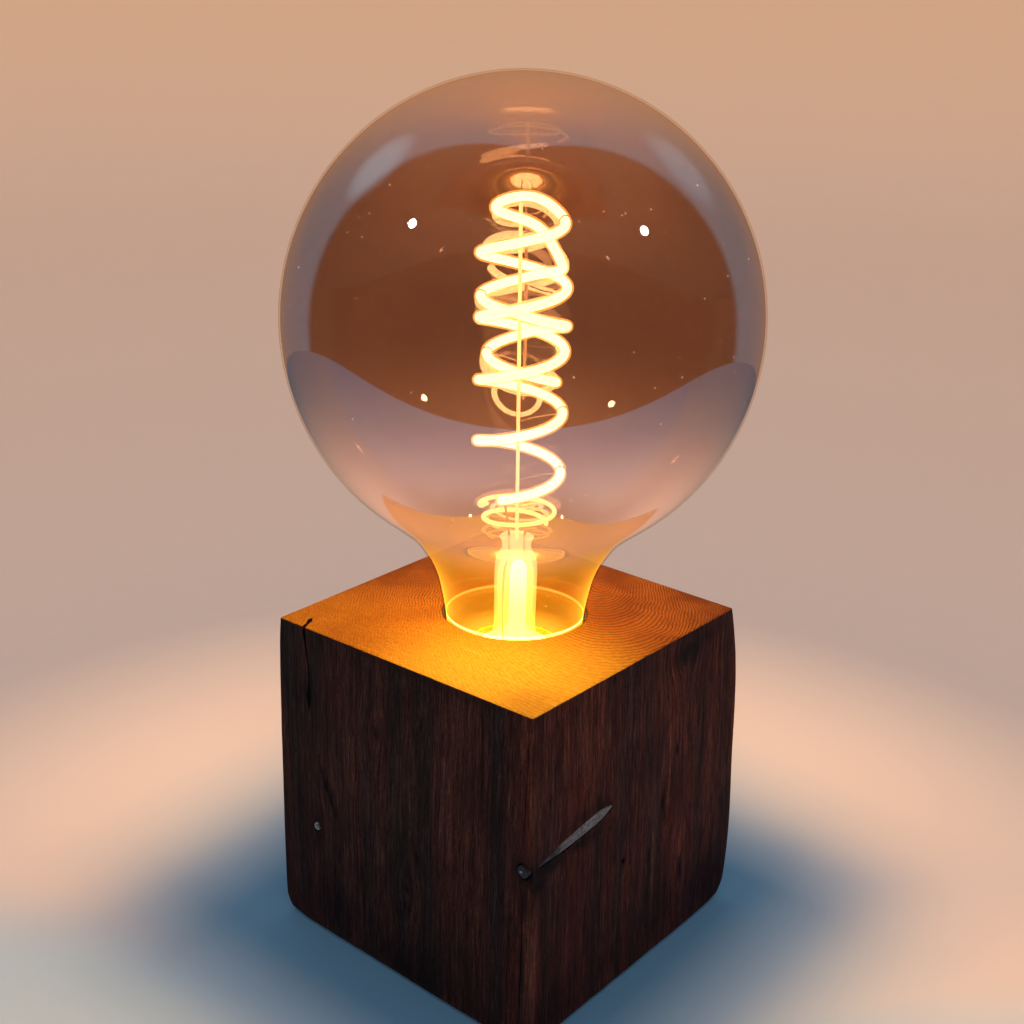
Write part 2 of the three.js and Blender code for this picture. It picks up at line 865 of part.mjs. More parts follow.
const base = new THREE.Group();
place(base, 'beam_block', beamBlock(), timber());
place(base, 'corner_nail', planedNail(), rustedSteel());
place(base, 'side_nail', sideNailStub(), rustedSteel());
place(base, 'base_plate', basePlate(), blackSteel());
screwPlaces.forEach(([x, y], i) => {
  place(base, `base_screw_${i + 1}`, baseScrew().translate(x, y, 0), steel());
});
padPlaces.forEach(([x, y], i) => {
  place(base, `felt_pad_${i + 1}`, disc(padRadius, 0, padThickness, 16).translate(x, y, 0), felt());
});
place(base, 'cord_grommet', cordGrommet(), rubber());
place(base, 'nipple', washer(nippleBore, nippleRadius, nippleBottom, nippleTop), steel());
const washerTop = webBottom - gap;
const washerBottom = washerTop - washerThickness;
place(base, 'nipple_washer',
  washer(nippleRadius + gap, washerRadius, washerBottom, washerTop), steel());
place(base, 'nipple_nut', hexNut(washerBottom - gap - nutHeight), steel());
lamp.add(base);

const holder = new THREE.Group();
place(holder, 'holder_locknut', hexNut(bossTop + gap), steel());
place(holder, 'holder_cup', holderCup(), bakelite());
place(holder, 'holder_skirt', holderSkirt(), bakelite());
place(holder, 'holder_insert', holderInsert(), porcelain());
place(holder, 'live_terminal', liveTerminal(), brass());
place(holder, 'live_terminal_screw', terminalScrew().translate(liveScrewX, 0, 0), steel());
place(holder, 'neutral_terminal', neutralTerminal(), brass());
place(holder, 'neutral_terminal_screw',
  terminalScrew().translate(neutralX, neutralScrewY, 0), steel());
place(holder, 'shell_rivet', shellRivet().translate(neutralX, rivetY, 0), brass());
place(holder, 'screw_shell', screwShell(), brass());
place(holder, 'contact_plunger', contactPlunger(), brass());
const springPoints = coilPoints(
  springRadius, springWire, springTurns, barTop + gap, plungerHead - gap, 8);
report('contact_spring', springPoints, 2 * springWire);
place(holder, 'contact_spring', tube(springPoints, springWire, 5), steel());
lamp.add(holder);

const bulb = new THREE.Group();
place(bulb, 'cap_contact', capContact(), nickel());
place(bulb, 'cap_insulator', capInsulator(), bakelite());
place(bulb, 'cap_shell', capShell(), nickel());
place(bulb, 'cap_cement', washer(neckRadius + gap, 12.2, 82.7, 84.9), plaster());
place(bulb, 'driver_board', disc(boardRadius, boardBottom, boardTop), circuit());
place(bulb, 'driver_capacitor',
  disc(capacitorRadius, partTop - 9, partTop, 14).translate(4.6, 2.4, 0), bakelite());
place(bulb, 'driver_bridge',
  block(-5, 3.4, partTop - bridgeHeight, 6.5, 4, bridgeHeight), bakelite());
place(bulb, 'driver_choke',
  disc(chokeRadius, partTop - 7, partTop, 12).translate(-3, -5.5, 0), blackSteel());
place(bulb, 'driver_wire_live', driverWireLive(), nickel());
place(bulb, 'driver_wire_shell', driverWireShell(), nickel());
place(bulb, 'glass_globe', glassGlobe(), glass(0x6b4a33, 0.45));

const inner = new THREE.Group();
inner.rotation.z = THREE.MathUtils.degToRad(innerTurn);
place(inner, 'stem_glass', stemGlass(), glass(0xfff1d8, 0.5));
place(inner, 'centre_rod', straight(
  [0, 0, pinchTop + gap], [rodLean, 0, rodTop], rodRadius, 8), glass(0xffe9b8, 0.8));
supports.forEach((support, i) => {
  place(inner, `support_wire_${i + 1}`, supportWire(support), nickel());
});
const filamentPoints = windingPoints(filamentControls(), 2 * filamentRadius);
report('filament', filamentPoints, 2 * filamentRadius);
place(inner, 'filament', tube(filamentPoints, filamentRadius, filamentSides), glowing(0xffd98a));
const tailPoints = windingPoints(tailControls(), 2 * tailRadius);
report('filament_tail', tailPoints, 2 * tailRadius);
place(inner, 'filament_tail', tube(tailPoints, tailRadius, 6), material(0xe8c060, 0.5));
place(inner, 'lead_wire_1', leadWire(-1, [[-2.6, -2.5, 27], [-3.6, -7.3, 34.2]]), nickel());
place(inner, 'lead_wire_2', leadWire(1, [[2.9, 0, 24.0], [5.2, 0.2, 24.4]]), nickel());
bulb.add(inner);
lamp.add(bulb);

export default lamp;
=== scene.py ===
"""Looks of a bare bulb table lamp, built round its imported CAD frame.

Sizes here are in millimetres, and become metres where a mesh or a shader is made. The origin is on
the bulb's axis, on the surface that the lamp stands on, and Z is up.
"""

import math

import bmesh
import bpy
import numpy as np
from mathutils import Matrix, Vector, noise


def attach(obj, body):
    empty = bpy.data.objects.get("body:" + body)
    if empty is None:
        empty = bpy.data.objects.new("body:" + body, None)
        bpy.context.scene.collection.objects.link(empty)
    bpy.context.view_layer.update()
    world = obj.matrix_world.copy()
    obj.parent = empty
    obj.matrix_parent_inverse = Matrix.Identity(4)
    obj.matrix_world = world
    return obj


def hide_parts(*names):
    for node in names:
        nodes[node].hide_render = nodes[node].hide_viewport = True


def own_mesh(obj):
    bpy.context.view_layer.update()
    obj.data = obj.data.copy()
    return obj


MM = 0.001
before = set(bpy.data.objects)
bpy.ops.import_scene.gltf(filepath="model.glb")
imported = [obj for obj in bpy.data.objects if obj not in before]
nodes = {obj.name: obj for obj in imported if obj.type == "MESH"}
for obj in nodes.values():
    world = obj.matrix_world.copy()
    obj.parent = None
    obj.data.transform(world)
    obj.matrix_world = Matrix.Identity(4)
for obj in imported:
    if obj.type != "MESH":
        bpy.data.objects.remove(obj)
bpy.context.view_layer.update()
scene = bpy.context.scene

# The camera of the photograph
CAMERA_PLACE = Vector((202.12, -251.19, 226.75)) * MM
CAMERA_RIGHT = Vector((0.771, 0.6364, 0.0245))
CAMERA_UP = Vector((-0.2136, 0.2221, 0.9513))
CAMERA_FORWARD = Vector((-0.6, 0.7387, -0.3072))
CAMERA_LENS = 43.66
BACK = Vector((-0.63, 0.776, 0)).normalized()
BESIDE = Vector((-BACK.y, BACK.x, 0))

# Timber block: where each upright arris stands at its foot and at its top, and how far it swells
BLOCK_FOOT, BLOCK_TOP = 0.8, 93.7
ARRISES = (
    {"foot": (-45.3, -47.3), "top": (-44.0, -47.5), "swell": (-1.2, 0.0)},
    {"foot": (46.0, -47.8), "top": (44.5, -47.5), "swell": (0.0, 0.0)},
    {"foot": (48.3, 43.9), "top": (44.5, 43.8), "swell": (0.0, 4.2)},
    {"foot": (-51.0, 50.4), "top": (-50.7, 50.8), "swell": (-0.5, 1.0)},
)
ARRIS_ROUND = 0.008
EDGE_ROUND, FOOT_EDGE, WORN_SHADED_RIM = 0.35, 0.6, 0.42
BORE_RADIUS, BORE_FLOOR = 20.05, 34.0
WEB_BOTTOM, NIPPLE_HOLE = 22.0, 5.3
RECESS_HALF, REBATE_HALF, REBATE_TOP = 20.0, 33.4, 3.8
SIDE_COLUMNS, CORNER_COLUMNS, SIDE_ROWS = 94, 6, 94
FOOT_ROWS, TOP_ROWS, BORE_ROWS = 8, 34, 16

# The middle of the growth rings on the sawn top, how far apart they are, and how they are drawn out.
# Then the middles of the painted highlight and of the stain, near the front corner.
PITH = (4.0, 34.5)
RING_WIDTH, RING_STRETCH, RING_SHIFT = 0.80, 0.55, 0.25
FRONT_PAINTED_HIGHLIGHT, CORNER_STAIN = (26, -36), (38, -41)

# Knocked corners at the foot: place, depth and height
FOOT_CHIPS = ((48.3, 43.9, 1.3, 6.0), (-45.3, -47.3, 1.6, 6.0))

# Marks on each face: place along it, height, size along and up, strength.
# The grain bends round a knot. Worn places are paler. Stains are dark iron and weather.
KNOTS = {
    "front": (
        (3.5, 29, 5, 9, 0.9), (-7.5, 71.5, 4, 7, 0.8), (-26, 47, 4, 9, 0.6), (-31.2, 33.7, 3, 6, 0.5),
    ),
    "right": (
        (20, 89, 8, 7, 1), (12, 50, 5, 14, 0.8), (21, 24, 5, 12, 0.8), (-24, 55, 9, 3, 0.4),
    ),
    "back": (
        (-12, 58, 6, 10, 0.9),
    ),
    "left": (
        (8, 38, 6, 11, 0.9),
    ),
}
WORN = {
    "front": (
        (-6, 36, 2.2, 3, 0.35), (-18, 62, 2, 9, 0.25), (20, 60, 5, 16, 0.25), (45, 30, 1.2, 24, 0.5),
    ),
    "right": (
        (-46.2, 26, 1.9, 19, 0.8), (-46.4, 74, 1.6, 14, 0.35), (6.5, 34, 0.8, 14, 0.7),
        (9.8, 58, 0.7, 6, 0.8), (13.2, 62, 0.6, 9, 0.5), (20, 29, 0.8, 5, 0.6), (12, 79, 5, 10, 0.25),
        (-28, 78, 8, 12, 0.25),
    ),
}
STAINS = {
    "right": (
        (-44.5, 47.5, 3, 3, 0.9), (-38, 50.6, 5.5, 2, 0.85), (-27, 51.2, 6.5, 1.8, 0.8),
        (-25, 58.6, 8, 2.2, 0.6), (-46.6, 50.6, 2.4, 2.6, 0.95), (-43.6, 51.2, 2.4, 2.2, 0.85),
        (-40.4, 51.9, 2.8, 2, 0.8), (-36, 52.3, 3.4, 1.7, 0.7), (-30, 52.8, 3.8, 1.6, 0.65),
        (-24, 53.4, 3.6, 1.6, 0.65), (-30, 56.8, 6, 1.5, 0.5), (-18.5, 58.2, 4.5, 1.6, 0.5),
        (-14, 56.4, 1.6, 1.8, 0.6), (-8, 36.5, 1.1, 1.4, 0.8), (20, 88, 8, 3.2, 0.75),
        (31, 90, 9, 3, 0.5), (16.5, 60.5, 1, 2.6, 0.7), (10.2, 46.5, 1.3, 4, 0.7),
        (20.6, 20, 1.5, 4.5, 0.7), (33, 15, 2.2, 2.4, 0.6), (34, 10, 16, 9, 0.5), (-38, 8, 10, 7, 0.45),
    ),
    "front": (
        (-31.2, 33.7, 2, 3.4, 0.85), (-31, 29.5, 1.1, 3, 0.55), (-33.2, 74, 1.6, 5, 0.7),
        (-28.3, 52, 1.1, 2.4, 0.75), (-26.6, 48.6, 1.2, 2.6, 0.8), (-25, 45, 1.3, 2.8, 0.8),
        (-23.4, 41.4, 1.1, 2.6, 0.7), (3.4, 29.4, 1.9, 1.8, 0.6), (3, 24, 0.9, 3.6, 0.6),
        (-7.4, 71.3, 1.2, 1.6, 0.7), (-24, 12, 13, 8, 0.5), (4, 6, 16, 6, 0.45),
        (-14, 24, 3.5, 9, 0.35), (43.6, 52, 2.6, 3, 0.95), (43.6, 43, 1.4, 7, 0.85),
        (43.6, 26, 1.2, 13, 0.7), (43.2, 74, 0.6, 18, 0.6), (12, 93, 30, 2.6, 0.35),
    ),
    "back": (
        (0, 12, 9, 8, 0.5), (-12, 57, 2, 4, 0.7),
    ),
    "left": (
        (8, 37, 2.2, 4, 0.7),
    ),
}

# Checks in each face: start and end, as place along it and height, then width and depth
CHECKS = {
    "front": (
        ((-29.3, 54.2), (-27.9, 50.2), 0.5, 1.2), ((-28.2, 51.2), (-26.6, 46.6), 0.65, 1.6),
        ((-26.8, 48.4), (-25.2, 43.4), 0.7, 1.6), ((-25.5, 46), (-24.1, 41.6), 0.55, 1.4),
        ((-24.2, 43), (-22.9, 38.8), 0.5, 1.2), ((3.2, 27.2), (2.8, 20.6), 0.6, 1.2),
        ((2.2, 25.6), (1.9, 22.6), 0.35, 0.8), ((-8, 72.6), (-6.8, 69.6), 0.5, 0.9),
        ((-32.2, 85), (-31.2, 76), 0.3, 0.9), ((-11.2, 66), (-9.8, 57), 0.3, 0.8),
        ((-8.8, 40), (-6.6, 29), 0.28, 0.7), ((29, 84), (29.3, 62), 0.25, 0.7),
        ((37.3, 66), (37, 38), 0.28, 0.7), ((20.5, 38), (20.8, 20), 0.24, 0.6),
        ((43.6, 92.5), (43.1, 55.5), 0.5, 0.9), ((43, 49), (43.4, 6), 0.75, 1),
    ),
    "right": (
        ((-39.2, 82), (-38.6, 66), 0.28, 0.7), ((-33, 50.4), (-32.8, 42), 0.35, 0.9),
        ((-28.1, 50.8), (-27.9, 44.5), 0.4, 0.9), ((-23.4, 51.6), (-23.2, 47), 0.3, 0.8),
        ((-36.6, 58), (-36.5, 53.6), 0.3, 0.8), ((16.3, 62.4), (16.8, 58.4), 0.85, 1.6),
        ((23, 62), (23.1, 59.6), 0.55, 1.1), ((10, 49.4), (10.5, 44.2), 0.7, 1.4),
        ((19.8, 24), (21.2, 17), 0.8, 1.4), ((31.9, 16.8), (33, 14), 0.7, 1.2),
        ((27.6, 34), (29.2, 24), 0.3, 0.8), ((5.2, 46), (4.8, 22), 0.28, 0.8),
        ((-3.6, 72), (-3.4, 63), 0.35, 0.8), ((14.8, 78), (15.2, 70), 0.3, 0.8),
    ),
}

# Nails and holes in the timber
NAIL_HEAD, NAIL_TIP = Vector((43.0, -47.9, 52.2)), Vector((45.5, -14.0, 56.2))
NAIL_RADIUS, NAIL_TAPER, NAIL_BLUNT = 1.6, 6.0, 0.3
NAIL_HEAD_RADIUS, NAIL_HEAD_DEPTH, NAIL_SUNK = 1.5, 1.3, 0.12
SIDE_NAIL = {"x": -31.2, "z": 33.7, "radius": 1.2, "front": -47.5, "back": -29.0}
NAIL_HOLE = (-8, 37)
SCREW_PLACES = ((-28, -10), (28, -10), (28, 10), (-28, 10))
INLET_HEIGHT, INLET_SEAT = 11.0, 47.4
GROMMET_SLEEVE, GROMMET_FLANGE = 4.6, 6.8

# Globe and stem
GLOBE_RADIUS, GLOBE_CENTRE, GLOBE_WALL = 62.5, BLOCK_TOP + 80.6, 0.5
NECK_RADIUS, NECK_BOTTOM, NECK_TOP = 11.3, 79.0, 85.0
NECK_JOIN = BLOCK_TOP + 32
INNER_TURN = math.radians(39.5)
STEM_RADIUS, STEM_WALL, PINCH_RADIUS = 5.85, 0.95, 4.4
PINCH_TOP = BLOCK_TOP + 22.3
ROD_TOP, ROD_RADIUS, ROD_LEAN = BLOCK_TOP + 110.7, 0.8, -1.2
ROD_SEEN_RADIUS = 0.48
FILAMENT_RADIUS, GLOW_HALO_RADIUS, TAIL_RADIUS, WIRE_RADIUS = 1.15, 1.7, 0.6, 0.25

# Each support wire: its height on the rod, its tip, and the filament's middle that it hooks round
SUPPORTS = (
    (38.2, (9.7, 40.4), (11.3, 40.7)),
    (54.6, (9.7, 56.8), (11.3, 57.2)),
    (70.8, (-7.6, 72.4), (-9.2, 72.65)),
    (86.6, (-9.5, 87.4), (-11.1, 87.55)),
    (103.6, (8.8, 105.2), (10.2, 106.7)),
)

# Cap and contact spring
THREAD_PITCH, THREAD_DEPTH, THREAD_RADIUS = 3.629, 0.5, 12.6
THREAD_START, THREAD_END = 66.0, 81.97
SPRING_BOTTOM, SPRING_TOP, SPRING_RADIUS = 50.3, 57.3, 2.9
SPRING_WIRE, SPRING_TURNS, PRESS_TRAVEL = 0.3, 5, 1.0

# Surroundings: paint, with the floor's painted cool shade near the lamp, the wall's colour and a painted
# warm glow up the wall; the wall's round sheet, the oval table's middle and halves, the floor beyond
FLOOR_PAINTED_SHADE, WALL_COLOUR, WALL_PAINTED_GLOW = (0.36, 0.46, 0.54), (0.55, 0.48, 0.455), (0.74, 0.565, 0.42)
WALL_RADIUS, WALL_COVE, WALL_HEIGHT = 400.0, 150.0, 1500.0
TABLE_BACK, TABLE_DEEP, TABLE_WIDE, FAR_FLOOR_HALF = 200.0, 461.0, 800.0, 4000.0

# What the globe mirrors: soft gleams, with their direction and level, and points of light
GLEAMS = (((-0.790, -0.065, 0.610), 1.0), ((0.127, 0.830, 0.543), 0.6))
SPARKS = {"spark_left": (-0.364, -0.667, 0.650), "spark_right": (0.732, 0.258, 0.630)}
SPARK_FAR, SPARK_RADIUS, SPARK_POWER = 1600, 46, 80

# The bulb's own light: heights and strength of the warm lights on the lamp, and of the one on the room
GLOW_HEIGHTS, GLOW_POWER, GLOW_COLOUR = (136, 158, 180, 202), 0.47, (1.0, 0.53, 0.13)
ROOM_GLOW_HEIGHT, ROOM_GLOW_POWER, ROOM_GLOW_COLOUR = 161, 2.6, (1.04, 0.68, 0.475)


# Meshes


def mesh_object(name, points, faces, materials=(), slots=None, smooth=35):
    """A mesh object from points in millimetres, with its faces turned outwards."""
    mesh = bpy.data.meshes.new(name)
    mesh.from_pydata((np.asarray(points, float) * MM).tolist(), [], faces)
    for material in materials:
        mesh.materials.append(material)
    if slots is not None:
        mesh.polygons.foreach_set("material_index", slots)
    work = bmesh.new()
    work.from_mesh(mesh)
    bmesh.ops.remove_doubles(work, verts=work.verts, dist=1e-7)
    bmesh.ops.recalc_face_normals(work, faces=work.faces)
    work.to_mesh(mesh)
    work.free()
    obj = bpy.data.objects.new(name, mesh)
    scene.collection.objects.link(obj)
    smooth_shading(obj, smooth)
    return obj


def smooth_shading(obj, angle):
    obj.data.polygons.foreach_set("use_smooth", [True] * len(obj.data.polygons))
    obj.data.set_sharp_from_angle(angle=math.radians(angle))
    obj.data.update()


def ring_faces(rings, around, closed=False):
    """Quads between rings of points, each ring closed on itself."""
    faces = []
    last = rings if closed else rings - 1
    for row in range(last):
        upper = (row + 1) % rings
        for column in range(around):
            after = (column + 1) % around
            faces.append((
                row * around + column,
                row * around + after,
                upper * around + after,
                upper * around + column,
            ))
    return faces


def lathe(name, profile, sides, material, place=(0, 0, 0), axis=None, smooth=35):
    """Turns a profile of (radius, height) points about an axis through a place."""
    profile = np.asarray(profile, float)
    angles = np.linspace(0, 2 * math.pi, sides, endpoint=False)
    radius, height = profile[:, :1], profile[:, 1:]
    points = np.stack([
        radius * np.cos(angles),
        radius * np.sin(angles),
        height + 0 * angles,
    ], axis=-1).reshape(-1, 3)
    if axis is not None:
        turn = np.array(Vector((0, 0, 1)).rotation_difference(Vector(axis)).to_matrix())
        points = points @ turn.T
    faces = ring_faces(len(profile), sides)
    return mesh_object(name, points + np.array(place), faces, [material], smooth=smooth)


def tube(name, path, radius, sides, material):
    """A tube along a path of points, with rounded ends."""
    path = np.asarray(path, float)
    ahead = np.gradient(path, axis=0)
    ahead /= np.linalg.norm(ahead, axis=1)[:, None]
    shares = np.array([0.92, 0.7, 0.38, 0.02])
    depths = radius * np.sqrt(1 - shares ** 2)[:, None]
    path = np.vstack([(path[0] - ahead[0] * depths)[::-1], path, path[-1] + ahead[-1] * depths])
    radii = radius * np.concatenate([shares[::-1], np.ones(len(ahead)), shares])
    ahead = np.vstack([[ahead[0]] * len(shares), ahead, [ahead[-1]] * len(shares)])
    side = np.cross(ahead[0], (0.0, 0.0, 1.0))
    if np.linalg.norm(side) < 0.1:
        side = np.cross(ahead[0], (1.0, 0.0, 0.0))
    angles = np.linspace(0, 2 * math.pi, sides, endpoint=False)
    points = []
    for centre, direction, size in zip(path, ahead, radii):
        side = side - direction * (side @ direction)
        side /= np.linalg.norm(side)
        other = np.cross(direction, side)
        points.append(centre + size * (
            np.cos(angles)[:, None] * side + np.sin(angles)[:, None] * other))
    faces = ring_faces(len(path), sides)
    count = len(path) * sides
    faces.append(tuple(range(sides)))
    faces.append(tuple(range(count - sides, count)))
    return mesh_object(name, np.vstack(points), faces, [material], smooth=60)


def smooth_curve(controls, steps):
    """Points on a centripetal Catmull-Rom curve through the controls."""
    p = np.asarray(controls, float)
    p = np.vstack([2 * p[0] - p[1], p, 2 * p[-1] - p[-2]])
    points = []
    for i in range(1, len(p) - 2):
        p0, p1, p2, p3 = p[i - 1:i + 3]
        d0, d1, d2 = (max(np.linalg.norm(b - a) ** 0.5, 1e-4)
                      for a, b in ((p0, p1), (p1, p2), (p2, p3)))
        t1 = ((p1 - p0) / d0 - (p2 - p0) / (d0 + d1) + (p2 - p1) / d1) * d1
        t2 = ((p2 - p1) / d1 - (p3 - p1) / (d1 + d2) + (p3 - p2) / d2) * d1
        for step in range(steps):
            t = step / steps
            points.append(
                p1 + t1 * t
                + (-3 * p1 + 3 * p2 - 2 * t1 - t2) * t ** 2
                + (2 * p1 - 2 * p2 + t1 + t2) * t ** 3)
    points.append(p[-2])
    return np.array(points)


def settle(piece, body, slot, *replaced):
    """Gives a finished piece its body, and hides the CAD nodes that it stands for. Its material slot is
    not used.
    """
    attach(piece, body)
    if replaced:
        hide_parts(*replaced)


def join_pieces(name, pieces):
    """Joins separate closed pieces into one object."""
    joined = bmesh.new()
    for piece in pieces:
        joined.from_mesh(piece.data)
    mesh = pieces[0].data.copy()
    joined.to_mesh(mesh)
    joined.free()
    for piece in pieces:
        bpy.data.objects.remove(piece)
    obj = bpy.data.objects.new(name, mesh)
    scene.collection.objects.link(obj)
    return obj


# Shader nodes


class Value:
    """A node's output. Arithmetic on it adds the nodes that work the result out."""

    def __init__(self, g, socket):
        self.g, self.socket = g, socket

    def work(self, operation, a, b):
        vectors = isinstance(a, tuple) or isinstance(b, tuple) or self.socket.type == "VECTOR"
        return (self.g.vector if vectors else self.g.math)(operation, a, b)

    def __add__(self, other):
        return self.work("ADD", self, other)

    def __sub__(self, other):
        return self.work("SUBTRACT", self, other)

    def __rsub__(self, other):
        return self.work("SUBTRACT", other, self)

    def __mul__(self, other):
        return self.work("MULTIPLY", self, other)

    def __truediv__(self, other):
        return self.work("DIVIDE", self, other)

    def __pow__(self, other):
        return self.work("POWER", self, other)

    def __getitem__(self, index):
        return self.g.value("SeparateXYZ", {0: self}, index)

    __radd__ = __add__
    __rmul__ = __mul__


class Shader:
    """Adds nodes to the node tree of a material or a world. The scale of a noise is per metre."""

    def __init__(self, tree, material=None):
        self.tree, self.material = tree, material

    def add(self, kind, inputs=None, **settings):
        node = self.tree.nodes.new("ShaderNode" + kind)
        for key, value in settings.items():
            setattr(node, key, value)
        for key, value in (inputs or {}).items():
            self.feed(node.inputs[key], value)
        return node

    def value(self, kind, inputs=None, output=0, **settings):
        return Value(self, self.add(kind, inputs, **settings).outputs[output])

    def feed(self, socket, value):
        if isinstance(value, Value):
            self.tree.links.new(value.socket, socket)
        else:
            socket.default_value = value

    def set(self, name, value):
        """Sets an input of the material's surface."""
        self.feed(self.tree.nodes["Principled BSDF"].inputs[name], value)

    def show(self, shader):
        """Makes a shader the one that the material shows."""
        self.feed(self.tree.nodes["Material Output"].inputs["Surface"], shader)

    def math(self, operation, a, b=0.0, **settings):
        return self.value("Math", {0: a, 1: b}, operation=operation, **settings)

    def vector(self, operation, a, b=(0, 0, 0), output=0):
        return self.value("VectorMath", {0: a, 1: b}, output, operation=operation)

    def dot(self, vector, direction):
        return self.vector("DOT_PRODUCT", vector, tuple(direction), "Value")

    def length(self, vector):
        return self.vector("LENGTH", vector, output="Value")

    def place(self):
        return self.value("TexCoord", output="Object")

    def facing(self):
        """0 where the surface faces the eye, 1 at its edge."""
        return self.value("LayerWeight", {"Blend": 0.5}, "Facing")

    def attribute(self, name, output="Fac"):
        return self.value("Attribute", output=output, attribute_name=name)

    def noise(self, vector, scale, detail=2.0, roughness=0.5, output=0):
        return self.value("TexNoise", {
            "Vector": vector, "Scale": scale, "Detail": detail, "Roughness": roughness}, output)

    def warp(self, vector, scale, amount):
        """The vector moved about by noise, by up to half the amount in millimetres."""
        shift = self.noise(vector, scale, output="Color") - (0.5, 0.5, 0.5)
        return vector + shift * metres(amount, amount, amount)

    def mapped(self, vector, turn, scale):
        """The vector scaled, and turned by degrees about each axis."""
        turn = tuple(math.radians(angle) for angle in turn)
        return self.value("Mapping", {"Vector": vector, "Rotation": turn, "Scale": scale})

    def ramp(self, factor, stops):
        node = self.add("ValToRGB", {0: factor})
        elements = node.color_ramp.elements
        while len(elements) < len(stops):
            elements.new(0.5)
        for element, (position, colour) in zip(elements, stops):
            element.position = position
            element.color = (*colour, 1) if isinstance(colour, tuple) else (colour,) * 3 + (1,)
        return Value(self, node.outputs[0])

    def mix(self, factor, a, b, blend="MIX"):
        node = self.add("Mix", data_type="RGBA", blend_type=blend)
        for index, value in ((0, factor), (6, a), (7, b)):
            if isinstance(value, tuple) and len(value) == 3:
                value = (*value, 1)
            self.feed(node.inputs[index], value)
        return Value(self, node.outputs[2])

    def tinted(self, colour, tint):
        return self.mix(1.0, colour, tint, "MULTIPLY")

    def span(self, value, low, high, to_low=0.0, to_high=1.0):
        """Goes smoothly from to_low to to_high as the value goes from low to high."""
        return self.value("MapRange", {
            0: value, 1: low, 2: high, 3: to_low, 4: to_high}, interpolation_type="SMOOTHSTEP")

    def over(self, length, low, high, to_low=0.0, to_high=1.0):
        """The same for a length, between limits in millimetres."""
        return self.span(length, low * MM, high * MM, to_low, to_high)

    def bump(self, height, distance, strength):
        """Relief in the surface's material. The distance is in millimetres."""
        self.set("Normal", self.value("Bump", {
            "Height": height, "Distance": distance * MM, "Strength": strength}))


def metres(*lengths):
    return tuple(length * MM for length in lengths)


def new_material(name, roughness=0.5, metallic=0.0, glows=False):
    """The node adder of a new material. One that glows isn't searched for as if it were a lamp."""
    material = bpy.data.materials.new(name)
    material.use_nodes = True
    if glows:
        material.cycles.emission_sampling = "NONE"
    g = Shader(material.node_tree, material)
    g.set("Roughness", roughness)
    g.set("Metallic", metallic)
    return g


# Timber


def ring_distance(g, spoke):
    """Distance from the pith, in rings that are drawn out and shifted towards the front corner."""
    behind = g.dot(spoke, BACK) * RING_STRETCH
    beside = g.dot(spoke, BESIDE)
    share = 1 - RING_SHIFT ** 2
    shifted = behind * RING_SHIFT + g.math("SQRT", beside * beside * share + behind * behind)
    return shifted / share


